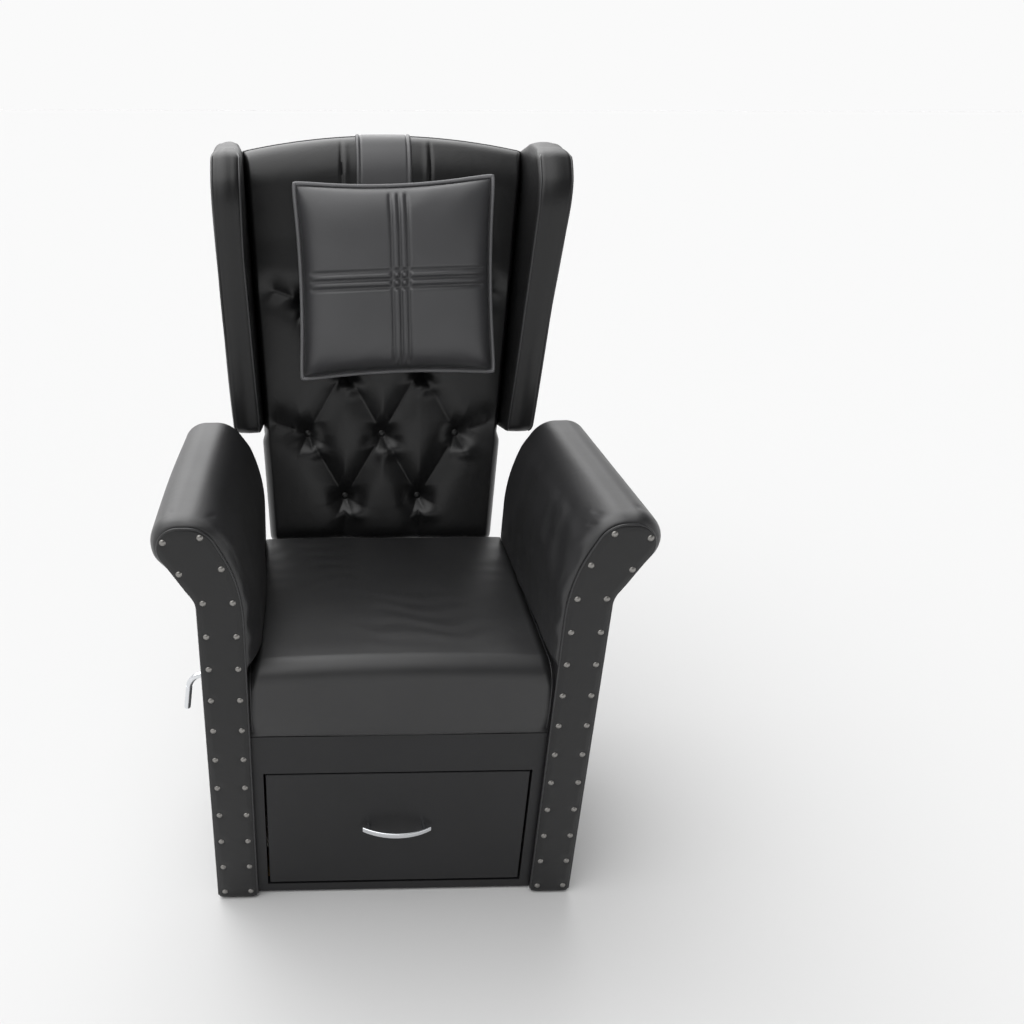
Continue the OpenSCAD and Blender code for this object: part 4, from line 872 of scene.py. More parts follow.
@dataclass
class Seat:
    """The boxed seat: a waterfall front, a crowned top and seams along both sides."""

    # Half width, front and rear, and the top of the crown
    half: float = 0.2464
    front: float = 0.008
    rear: float = 0.446
    top: float = 0.500
    # Lower edge of the front skirt, underside of the cushion over the deck, and the skirt's rear side
    line: float = 0.3535
    base: float = 0.4073
    skirt: float = 0.0197
    # Rounding of the front and the rear edge, and the rise of the rear edge
    front_r: float = 0.038
    rear_r: float = 0.007
    rear_crown: float = 0.006
    # Fall of the top towards the sides, the rounding of its side edges, and how far the front bellies out
    across: float = 0.011
    side_fall: float = 0.012
    belly: float = 0.005
    # Height of the cross wrinkles and of the slow waves of the top
    wrinkle: float = 0.00035
    wave: float = 0.0011
    # How far the arm pads press in, and between which heights
    pressed: float = 0.0115
    pressed_from: tuple[float, float] = (0.480, 0.504)
    # Points on the front face, the front edge, the top and the rear edge
    steps: tuple[int, int, int, int] = (16, 20, 60, 12)
    seam_inset: float = 0.004
    seam_r: float = 0.0013

    def section(self, q: Array) -> tuple[Array, Array]:
        """Side section of the seat at each share q of its half width.

        Args:
            q: Share of the half width, from -1 to 1, one per ring.

        Returns:
            Y and Z of the section's points, rings by points.
        """
        face_steps, fall_steps, top_steps, rear_steps = self.steps
        a = np.abs(q)[:, None]
        one = np.ones_like(a)
        side = self.side_fall * smooth_step(0.90, 1.0, a) ** 2
        top = self.top - self.across * a * a - side
        front = self.front - self.belly * (1 - a * a) + 0.25 * side
        up = np.linspace(0.0, 1.0, face_steps)[None, :]
        face_z = self.line + 0.004 + (top - self.front_r - 0.002 - self.line - 0.004) * up
        face_y = front + 0.003 * (1 - up) ** 4 - 0.0022 * np.sin(np.pi * up)
        t = np.radians(np.linspace(180, 90, fall_steps))[None, 1:]
        fall_y = front + self.front_r * (1 + np.cos(t))
        fall_z = top - 0.002 - self.front_r * (1 - np.sin(t))
        s = np.linspace(0.0, 1.0, top_steps)[None, 1:-1]
        y0, y1 = front + self.front_r, self.rear - self.rear_r
        # The rear edge is straight up to both arms
        crest = self.rear_crown + 0.0105 * a * a + 0.85 * side
        run_z = top - 0.002 + 0.004 * np.sin(np.pi * s ** 0.8) + (crest - 0.003) * s ** 2.2
        u = np.radians(np.linspace(90, 0, rear_steps))[None, :]
        back_z = top - 0.005 + crest - self.rear_r * (1 - np.sin(u))
        y = np.concatenate([face_y, fall_y, y0 + (y1 - y0) * s, y1 * one + self.rear_r * np.cos(u),
                            self.rear * one, self.skirt * one, self.skirt * one,
                            (self.front + 0.004) * one], axis=1)
        z = np.concatenate([face_z, fall_z, run_z, back_z, self.base * one, self.base * one, self.line * one,
                            self.line * one], axis=1)
        return y, z

    def cushion(self) -> bpy.types.Object:
        """Builds the cushion as sections carried across its width, with faint cross wrinkles on the top.

        The wrinkles are sin(y / 6.5 mm + bends in x), inside soft patches, over slow waves of both axes.

        Returns:
            The cushion, which stands for the CAD cushion.
        """
        q = np.sin(np.linspace(-np.pi / 2, np.pi / 2, 141))
        y, z = self.section(q)
        x = (q * self.half)[:, None] + 0 * y
        on_top = smooth_step(0.44, 0.49, z) * smooth_step(0.03, 0.10, y) * smooth_step(
            0.0, 0.05, self.half - np.abs(x))
        # The sides follow the pads' swell
        x = np.sign(x) * np.minimum(np.abs(x), self.half - self.pressed * smooth_step(*self.pressed_from, z))
        wrinkle = np.sin(y / 0.0065 + 2.2 * np.sin(x / 0.05) + 1.1 * np.sin(x / 0.021 + y / 0.03))
        patch = smooth_step(0.3, 1.0, np.sin(x / 0.07 + 0.8) * np.sin(y / 0.09 + 0.5) + 0.5)
        slow = np.sin(x / 0.06 + 0.4) * np.sin(y / 0.08)
        z = z + on_top * (self.wrinkle * wrinkle * patch + self.wave * slow)
        skin = closed_tube(np.stack([x, y - MID_Y, z], axis=-1))
        piece = mesh_object("seat_leather", skin, "chair_base", crisp=50)
        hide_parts("seat_cushion")
        dress(piece, Finish.SEAT)
        return piece

    def seams(self) -> None:
        """Builds the two boxing seams, thin cords that follow the section just inside each side."""
        face_steps, fall_steps, top_steps, _ = self.steps
        # From above the front's foot to a third of the way round the rear edge
        keep = slice(1, face_steps + fall_steps - 1 + top_steps - 2 + 4)
        for side in Side:
            q = np.array([side.value * (self.half - self.seam_inset) / self.half])
            y, z = (row[0, keep] for row in self.section(q))
            path = np.stack([np.full(y.shape, q[0] * self.half), y - MID_Y, z], axis=1)
            skin = tube(resampled(path, 150), self.seam_r, np.array([1.0, 0.0, 0.0]), 8)
            piece = mesh_object(f"seat_seam_{side.word}", skin, "chair_base")
            dress(piece, Finish.PIPING)

    def build(self) -> None:
        """Builds and dresses the seat."""
        self.cushion()
        self.seams()


# Backrest

@dataclass(frozen=True)
class BackPlane:
    """The backrest's own axes: u across, y to the rear and v along its lean."""

    foot_y: float = 0.4975
    foot_z: float = 0.455
    lean: float = 12.0

    def rearward(self) -> Array:
        """Direction in which y grows, (0, cos, -sin) of the lean."""
        lean = math.radians(self.lean)
        return np.array([0.0, math.cos(lean), -math.sin(lean)])

    def place(self, u: Array, y: Array, v: Array) -> Array:
        """Points in the frame's axes: (u, foot + y cos + v sin, foot - y sin + v cos).

        Args:
            u: Across.
            y: To the rear, square to the back.
            v: Along the back, from its foot.

        Returns:
            The points, of the shape of the three together, by 3.
        """
        _, c, s = self.rearward()
        u, y, v = np.broadcast_arrays(u, y, v)
        return np.stack([u, self.foot_y - MID_Y + y * c - v * s, self.foot_z + y * s + v * c], axis=-1)


@dataclass
class Backrest:
    """The tufted back: leather over a cushion, its rear cover and the pillow's strap."""

    plane: BackPlane = field(default_factory=BackPlane)
    # Length along the lean without the arch of the top edge, half widths at the foot and at the top,
    # radius of the bottom corners, and thickness
    length: float = 0.779
    arch: float = 0.028
    low: float = 0.226
    high: float = 0.270
    corner: float = 0.010
    thick: float = 0.060
    # Crown of the face, and the widths of its rounding at the bottom, the top and the sides
    crown: float = 0.014
    edge: float = 0.027
    top_edge: float = 0.082
    side_edge: float = 0.014
    # Roundness of the edges: at the sides and the bottom, and at the top
    round_power: tuple[float, float] = (2.3, 2.0)
    # Bulge of the sides below the wings
    side_puff: float = 0.0065
    # Spacing of the buttons across and up the back, height of the lowest row, depth of the pits
    tuft_w: float = 0.150
    tuft_h: float = 0.130
    tuft_low: float = 0.104
    tuft_depth: float = 0.026
    # Radius of the pits at the buttons, width of the folds between them, and the swell beside the folds
    pit_r: float = 0.023
    fold_w: float = 0.012
    puff: float = 0.009
    puff_w: float = 0.030
    # A plump fold lies right below each button, with a few pleats round it
    cheek_at: tuple[float, float] = (0.014, -0.036)
    cheek_size: tuple[float, float] = (0.022, 0.014)
    cheek: float = 0.0075
    pleat: float = 0.0026
    # The tufting gives way to the plain upper back between these heights
    tufted_to: tuple[float, float] = (0.52, 0.62)
    # The rear cover: its rear side, the rounding of its rear edge, its shell and the piping before it
    rear: float = 0.117
    cover_r: float = 0.010
    shell: float = 0.0132
    welt_r: float = 0.0020
    # The strap: half its width, its ends in front and behind, and its rounded turn at the rear
    strap_half: float = 0.053
    strap_ends: tuple[float, float] = (0.482, 0.572)
    strap_r: float = 0.004
    # Notches of the rear cover, where the recline arms come out
    arm_u: float = 0.150
    notch_half: float = 0.0095
    notch_y: float = 0.1023
    # Sewn seams in the upper back, left and right of the strap, with their depth and the ridge beside each
    seams_u: tuple[float, float] = (-0.081, 0.089)
    seam_depth: float = 0.0040
    seam_ridge: float = 0.0018

    def half(self, v: Array) -> Array:
        """Half width at v, narrowed by the rounded bottom corners."""
        base = self.low + (self.high - self.low) * v / self.length
        return base - quarter(self.corner, self.corner - v)

    def top(self, u: Array) -> Array:
        """Height of the arched top edge at u."""
        return self.length + self.arch * (1.0 - (u / self.high) ** 2)

    def buttons(self) -> Array:
        """Centres of the ten buttons: two and three to a row by turns."""
        rows = [(r, [-0.5, 0.5] if r % 2 == 0 else [-1.0, 0.0, 1.0]) for r in range(4)]
        return np.array([[k * self.tuft_w, self.tuft_low + r * self.tuft_h] for r, ks in rows for k in ks])

    def creases(self) -> Array:
        """The folds between buttons, and from the outer ones to the edges.

        Returns:
            Array of folds by their two ends by u and v.
        """
        b = self.buttons()
        gap = np.abs(b[None, :, :] - b[:, None, :] - [0.0, self.tuft_h])
        i, j = np.nonzero(np.abs(gap - [self.tuft_w / 2, 0.0]).max(axis=-1) < 1e-6)
        lines = np.stack([b[i], b[j]], axis=1)
        # The lowest two run down to the foot, the outer ones out past the sides
        low = b[:2]
        down = np.stack([low, low * [1.06, 0.0] + [0.0, 0.012]], axis=1)
        outer = b[np.abs(b[:, 0]) > self.tuft_w * 0.9]
        out = np.stack([outer, outer * [1.42, 1.0] + [0.0, 0.022]], axis=1)
        return np.concatenate([lines, down, out])

    def tuft(self, u: Array, v: Array) -> Array:
        """Depth of the tufting: cusped folds along the creases, a pit and a few pleats at each button.

        Args:
            u: Across.
            v: Along the back.

        Returns:
            Depth behind the crowned face.
        """
        p = np.stack([u, v], axis=-1)[..., None, :]
        lines = self.creases()
        a, ab = lines[:, 0], lines[:, 1] - lines[:, 0]
        t = np.clip(((p - a) * ab).sum(-1) / (ab * ab).sum(-1), 0.0, 1.0)
        gap = np.linalg.norm(p - a - t[..., None] * ab, axis=-1).min(axis=-1)
        b = self.buttons()
        away = p - b
        r = np.linalg.norm(away, axis=-1)
        near = r.min(axis=-1)
        angle = np.arctan2(away[..., 1], away[..., 0])
        fold = np.exp(-gap / self.fold_w) * (0.40 + 0.60 * np.exp(-near / 0.055))
        pit = np.exp(-(near / self.pit_r) ** 1.4)
        # Pleats radiate from the lower half of each button, turned a little from one button to the next
        swirl = 4.0 * angle + b[:, 0] * 40.0
        ring = (r / 0.016) ** 2 * np.exp(-(r / 0.021) ** 1.7)
        downward = smooth_step(0.1, 0.8, -np.sin(angle))
        pleat = (downward * (1.0 - 1.6 * np.abs(np.cos(swirl)) ** 0.6) * ring).sum(axis=-1)
        cheek = np.exp(-(((away - self.cheek_at) / self.cheek_size) ** 2).sum(axis=-1)).sum(axis=-1)
        deep = self.tuft_depth * np.maximum(pit, 0.42 * fold) + self.pleat * pleat
        high = self.cheek * cheek + self.puff * (1.0 - bump(gap, 0.0, self.puff_w))
        return (deep - high) * (1.0 - 0.90 * smooth_step(*self.tufted_to, v))

    def crown_at(self, u: Array, v: Array) -> Array:
        """Swell of the untufted face, crown (1 - q^2)(1 - w^4), with q and w from -1 to 1 between rims.

        Args:
            u: Across.
            v: Along the back.

        Returns:
            The swell.
        """
        q = u / self.half(np.maximum(v, self.corner))
        w = 2.0 * np.clip(v / self.length, 0.0, 1.0) - 1.0
        return self.crown * (1.0 - q * q) * (1.0 - w ** 4)

    def rise(self, u: Array, v: Array) -> Array:
        """Rise of the front from 0 at the rims to 1 inside them, as a rounded edge.

        The rise is (1 - (1 - t)^p)^(1 / p), with t the reach from the rim over the width of the rounding,
        and p its roundness.

        Args:
            u: Across.
            v: Along the back.

        Returns:
            The rise.
        """
        low, top = self.round_power
        reach = [((self.half(v) - np.abs(u)) / self.side_edge, low), (v / self.edge, low),
                 ((self.top(u) - v) / self.top_edge, top)]
        return np.prod([(1.0 - (1.0 - np.clip(t, 0.0, 1.0)) ** p) ** (1.0 / p) for t, p in reach], axis=0)

    def skin(self, u: Array, v: Array) -> Array:
        """Depth of the front leather: the cushion's thickness and crown times the rise at the rims.

        Args:
            u: Across.
            v: Along the back.

        Returns:
            The depth y, with the tufting and the seams on both sides of the strap.
        """
        full = self.rise(u, v)
        upper = smooth_step(0.44, 0.52, v) * full ** 2
        left, right = self.seams_u
        seam = bump(u, left, 0.0026) + bump(u, right, 0.0026)
        ridge = bump(u, left + 0.008, 0.005) + bump(u, right - 0.008, 0.005)
        deep = self.tuft(u, v) * full ** 2 + upper * (self.seam_depth * seam - self.seam_ridge * ridge)
        return self.thick - full * (self.thick + self.crown_at(u, v)) + deep

    def cushion(self) -> bpy.types.Object:
        """Builds the cushion: the front skin on a grid of u and v, and one flat rear face.

        Returns:
            The cushion, which stands for the CAD cushion.
        """
        even = np.linspace(-1.0, 1.0, 221)
        s = 0.35 * np.sin(even * np.pi / 2) + 0.65 * even
        f = np.linspace(0.0, 1.0, 301)
        v0 = (0.35 * (0.5 - 0.5 * np.cos(np.pi * f)) + 0.65 * f) * self.length
        u = s[None, :] * self.half(v0)[:, None]
        v = v0[:, None] * self.top(u) / self.length
        y = self.skin(u, v)
        y[0], y[-1], y[:, 0], y[:, -1] = self.thick, self.thick, self.thick, self.thick
        # Below the wings the sides bulge
        near = np.clip((self.half(v) - np.abs(u)) / self.side_edge, 0.0, 1.0)
        free = smooth_step(-0.01, 0.02, v) * (1.0 - smooth_step(0.215, 0.240, v))
        front = self.plane.place(u + np.sign(u) * self.side_puff * free * np.sin(np.pi * near ** 0.4), y, v)
        piece = mesh_object("back_leather", backed_sheet(front), "backrest", crisp=75)
        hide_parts("back_cushion")
        dress(piece, Finish.BACK)
        return piece

    def outline(self, inset: float, count: int = 240) -> Array:
        """Outline of the back, drawn in by inset, at equal spacing, without a repeated point.

        Args:
            inset: How far it is drawn in.
            count: Number of points.

        Returns:
            Array of count points by u and v.
        """
        r = max(0.001, self.corner - inset)
        up = np.linspace(inset + r, self.length - inset, 40)[1:]
        top_u = np.linspace(1.0, -1.0, 60)[1:-1] * (self.high - inset)
        low = self.low - inset - r
        chain = np.concatenate([
            arc((low, inset + r), r, -90, 0, 12),
            np.stack([self.half(up) - inset, up], axis=1),
            np.stack([top_u, self.top(top_u) - inset], axis=1),
            np.stack([-(self.half(up[::-1]) - inset), up[::-1]], axis=1),
            arc((-low, inset + r), r, 180, 270, 12)])
        chain = np.concatenate([chain, chain[:1]])
        return resampled(chain, count + 1)[:-1]

    def cover(self) -> bpy.types.Object:
        """Builds the rear cover: a shell with a rounded rear edge, its rear face swelling by 3 mm.

        Two notches in its rim let the recline arms out of the bottom of the backrest.

        Returns:
            The cover, which stands for the CAD cover.
        """
        y0, y1, r = self.thick + 0.0005, self.rear, self.cover_r
        a = np.linspace(0.0, np.pi / 2, 8)
        inset = np.concatenate([[self.shell, self.shell, 0.0006, 0.0, 0.0], r * (1 - np.cos(a)),
                                [0.03, 0.06, 0.12]])
        depth = np.concatenate([[y1 - 0.0145, y0, y0, y0 + 0.001, y1 - r - 0.001], y1 - r + r * np.sin(a),
                                [y1 + 0.0012, y1 + 0.002, y1 + 0.0026]])
        rings = []
        for i, d in zip(inset, depth):
            o = self.outline(i, 480)
            notch = (o[:, 1] < 0.03) & (np.abs(np.abs(o[:, 0]) - self.arm_u) < self.notch_half)
            rings.append(self.plane.place(o[:, 0], np.where(notch, np.maximum(d, self.notch_y), d), o[:, 1]))
        skin = closed_tube(np.stack(rings))
        piece = mesh_object("back_cover_leather", skin, "backrest", crisp=50)
        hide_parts("back_rear_panel")
        dress(piece, Finish.BLACK)
        return piece

    def cover_welt(self) -> bpy.types.Object:
        """Builds the piping between the cushion's side and the rear cover, a closed cord of 4 mm.

        Returns:
            The cord.
        """
        o = self.outline(-0.0004, 360)
        path = self.plane.place(o[:, 0], np.full(len(o), self.thick + 0.0002), o[:, 1])
        skin = tube(path, self.welt_r, self.plane.rearward(), 8, closed=True)
        piece = mesh_object("back_welt", skin, "backrest")
        dress(piece, Finish.PIPING)
        return piece

    def strap(self) -> bpy.types.Object:
        """Builds the strap: a band over the top edge, 3 mm thick, with a stitched groove inside each edge.

        Returns:
            The strap, which stands for the CAD strap.
        """
        over, lift, r = self.top(0.0), 0.0012, self.strap_r
        front_end, rear_end = self.strap_ends
        rise = over - (over - front_end) * (1.0 - np.linspace(0.0, 1.0, 90)) ** 2
        front_y = self.thick - self.rise(0.0 * rise, rise) * (self.thick + self.crown_at(0.0 * rise, rise))
        flat_y = np.linspace(self.thick, self.rear - r, 16)[1:]
        b = np.radians(np.linspace(90, 0, 8))[1:]
        turn_y = self.rear - r + r * np.cos(b)
        turn_v = over - r * (1 - np.sin(b))
        down = np.linspace(over - r, rear_end, 30)[1:]
        y = np.concatenate([front_y, flat_y, turn_y, np.full(len(down), self.rear)])
        v = np.concatenate([rise, np.full(len(flat_y), over), turn_v, down])
        path = resampled(np.stack([y, v], axis=1), 160)
        t = unit(np.gradient(path, axis=0))
        out = np.stack([-t[:, 1], t[:, 0]], axis=1)
        # Profile across the strap: thin at the edges, with a bead outside a groove
        w = np.linspace(-1.0, 1.0, 81)
        across = w * self.strap_half
        groove = bump(np.abs(across), self.strap_half - 0.0085, 0.0016)
        bead = bump(np.abs(across), self.strap_half - 0.0040, 0.0028)
        edge = np.clip((1 - np.abs(w)) * self.strap_half / 0.0025, 0, 1) ** 0.5
        h = (0.0016 + 0.0014 * bead) * edge + 0.0006 * (1 - w * w) - 0.0018 * groove
        top = path[:, None, :] + out[:, None, :] * (lift + h)[None, :, None]
        low = path[:, None, :] + out[:, None, :] * (lift - 0.0006 * edge)[None, :, None]
        u = across[None, :] + 0 * top[..., 0]
        skin = walled_pair(*(self.plane.place(u, side[..., 0], side[..., 1]) for side in (top, low)))
        piece = mesh_object("strap_leather", skin, "backrest")
        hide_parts("pillow_strap")
        dress(piece, Finish.PILLOW)
        return piece

    def build(self) -> None:
        """Builds and dresses the backrest."""
        self.cushion()
        self.cover()
        self.cover_welt()
        self.strap()


@dataclass
class Wing:
    """One wing: a padded slab with a welt along both edges of its front face."""

    side: Side
    back: Backrest
    # Heights along the back: of the low end, of the farthest reach and of the top
    low: float = 0.244
    peak: float = 0.702
    high: float = 0.764
    # Thickness, reach in front of the back at the peak and at the low end, and the rear side
    thick: float = 0.054
    reach: float = 0.150
    low_reach: float = 0.058
    rear: float = 0.102
    # Fall of the front edge at the top, and the height at which it starts
    fall: float = 0.060
    fall_from: float = 0.645
    # Rounding of the front and the rear corners, and the swell of the outer side and of the front face
    round_r: float = 0.012
    rear_r: float = 0.006
    side_swell: float = 0.0030
    face_swell: float = 0.0022
    # Rounding of the top and the bottom end, and how much higher the top lies where it meets the back
    top_r: float = 0.022
    low_r: float = 0.014
    rear_rise: float = 0.020
    # In the photo the right wing is wider at its top, and the left one leans in over the back
    widen: dict[Side, float] = field(default_factory=lambda: {Side.LEFT: -0.005, Side.RIGHT: 0.009})
    lean_in: dict[Side, float] = field(default_factory=lambda: {Side.LEFT: 0.006, Side.RIGHT: 0.0})
    # Crown of the cap that closes the top
    cap: float = 0.0028
    welt_r: float = 0.0021

    def front(self, v: Array) -> Array:
        """Reach in front of the back: a power curve up to the peak, then a fall towards the top.

        Args:
            v: Along the back.

        Returns:
            The reach at v.
        """
        grown = self.low_reach + (self.reach - self.low_reach) * (
            np.clip((v - self.low) / (self.peak - self.low), 0.0, 1.0)) ** 0.85
        late = np.clip((v - self.fall_from) / (self.high - self.fall_from), 0.0, 1.0)
        return grown - self.fall * late ** 2

    def width(self, v: Array) -> Array:
        """Thickness at v, a little more or less at the top."""
        return self.thick + self.widen[self.side] * smooth_step(0.45, 0.75, v)

    def inset(self, v: Array) -> Array:
        """How far the section is drawn in at v, by a quarter round at either end."""
        low = quarter(self.low_r, self.low + self.low_r - v)
        return low + quarter(self.top_r, v - self.high + self.top_r)

    def sides(self, v: Array, inset: Array) -> tuple[Array, Array]:
        """Inner and outer side of the wing, drawn in towards the ends.

        Args:
            v: Along the back.
            inset: How far the section is drawn in there.

        Returns:
            The inner and the outer u.
        """
        inner = self.back.half(v) + 0.0003
        return inner + 0.40 * inset, inner + self.width(v) - 0.80 * inset

    def leaned(self, y: Array, v: Array) -> Array:
        """Lean of the inner side towards the middle at the wing's top, by two smooth rises in y and v."""
        return self.lean_in[self.side] * smooth_step(0.02, 0.08, -y) * smooth_step(0.55, 0.72, v)

    def lifted(self, y: Array, v: Array) -> Array:
        """Height raised towards the back at the wing's top, by rear_rise smooth(y) smooth(v)."""
        return v + self.rear_rise * smooth_step(-self.reach + self.fall, 0.0, y) * smooth_step(
            self.fall_from, self.high, v)

    def section(self, v: Array, inset: Array) -> tuple[Array, Array]:
        """Closed section of the slab at each v, drawn in by inset.

        Args:
            v: Height of each ring.
            inset: How far each ring is drawn in.

        Returns:
            U and y of the section, rings by points.
        """
        v, d = v[:, None], inset[:, None]
        x0, x1 = self.sides(v, d)
        y0, y1 = -self.front(v) + d, self.rear - 0.6 * d
        r, e = self.round_r, self.rear_r
        a = np.radians(np.linspace(0, 90, 9))[None, :]
        k = np.linspace(0.0, 1.0, 24)[None, 1:-1]
        side_u = x1 + self.side_swell * np.sin(np.pi * k)
        side_y = (y1 - e) * (1 - k) + (y0 + r) * k
        face = np.linspace(0.0, 1.0, 14)[None, 1:-1]
        loop_u = np.concatenate([
            x1 - e * (1 - np.sin(a)), side_u,
            x1 - r * (1 - np.cos(a)), (x1 - r) * (1 - face) + (x0 + r) * face,
            x0 + r * (1 - np.sin(a)), x0 + 0 * k, x0 + 0 * a[:, :1]], axis=1)
        loop_y = np.concatenate([
            y1 - e * (1 - np.cos(a)), side_y,
            y0 + r * (1 - np.sin(a)), y0 - self.face_swell * np.sin(np.pi * face),
            y0 + r * (1 - np.cos(a)), (y0 + r) * (1 - k) + y1 * k, y1], axis=1)
        # The lean grows along the face and holds for the inner side, the loop's last points
        grow, hold = np.linspace(0.0, 1.0, 12)[1:], np.ones(22)
        inner = np.concatenate([np.zeros(loop_u.shape[1] - len(grow) - len(hold)), grow, hold])
        return loop_u - inner[None, :] * self.leaned(loop_y, v), loop_y

    def slab(self) -> bpy.types.Object:
        """Builds the slab as sections stacked along v, its ends rounded by drawing in the last rings.

        Returns:
            The slab, which stands for the CAD wing.
        """
        a = np.linspace(0.0, np.pi / 2, 12)
        v = np.concatenate([self.low + self.low_r * (1 - np.sin(a[::-1])),
                            np.linspace(self.low + self.low_r, self.high - self.top_r, 90)[1:-1],
                            self.high - self.top_r * (1 - np.sin(a))])
        u, y = self.section(v, self.inset(v))
        slow = 0.0010 * np.sin(v / 0.055 + self.side.value)[:, None] * np.sin(y / 0.045 + 0.7)
        outer = smooth_step(0.4, 0.9, (u - self.back.half(v)[:, None]) / self.thick)
        u = u + slow * outer
        # The cap closes in on the last ring's middle
        share = np.linspace(1.0, 0.03, 14)[1:, None]
        cap_u = u[-1:].mean() + (u[-1:] - u[-1:].mean()) * share
        cap_y = y[-1:].mean() + (y[-1:] - y[-1:].mean()) * share
        u, y = np.concatenate([u, cap_u]), np.concatenate([y, cap_y])
        tall = np.concatenate([v, self.high + self.cap * (1.0 - share[:, 0] ** 2)])[:, None] + 0.0 * y
        rings = self.back.plane.place(u * self.side.value, y, self.lifted(y, tall))
        skin = closed_tube(rings)
        piece = mesh_object(f"wing_leather_{self.side.word}", skin, "backrest", crisp=70)
        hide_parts(f"wing_{self.side.word}")
        dress(piece, Finish.BLACK)
        return piece

    def welts(self) -> None:
        """Builds the two cords along the corners of the front face."""
        v = np.linspace(self.low + 0.003, self.high - 0.003, 160)
        d = self.inset(v)
        # The cords sink into the leather at the top
        give = self.round_r * (1 - math.cos(math.pi / 4)) + 0.005 * smooth_step(
            self.high - 0.022, self.high - 0.006, v)
        x0, x1 = self.sides(v, d)
        y = -self.front(v) + d + give
        for name, u in (("inner", x0 + give - self.leaned(y, v)), ("outer", x1 - give)):
            path = self.back.plane.place(u * self.side.value, y, self.lifted(y, v))
            skin = tube(resampled(path, 150), self.welt_r, np.array([1.0, 0.0, 0.0]), 8)
            piece = mesh_object(f"wing_welt_{name}_{self.side.word}", skin, "backrest")
            dress(piece, Finish.PIPING)

    def build(self) -> None:
        """Builds and dresses the wing."""
        self.slab()
        self.welts()


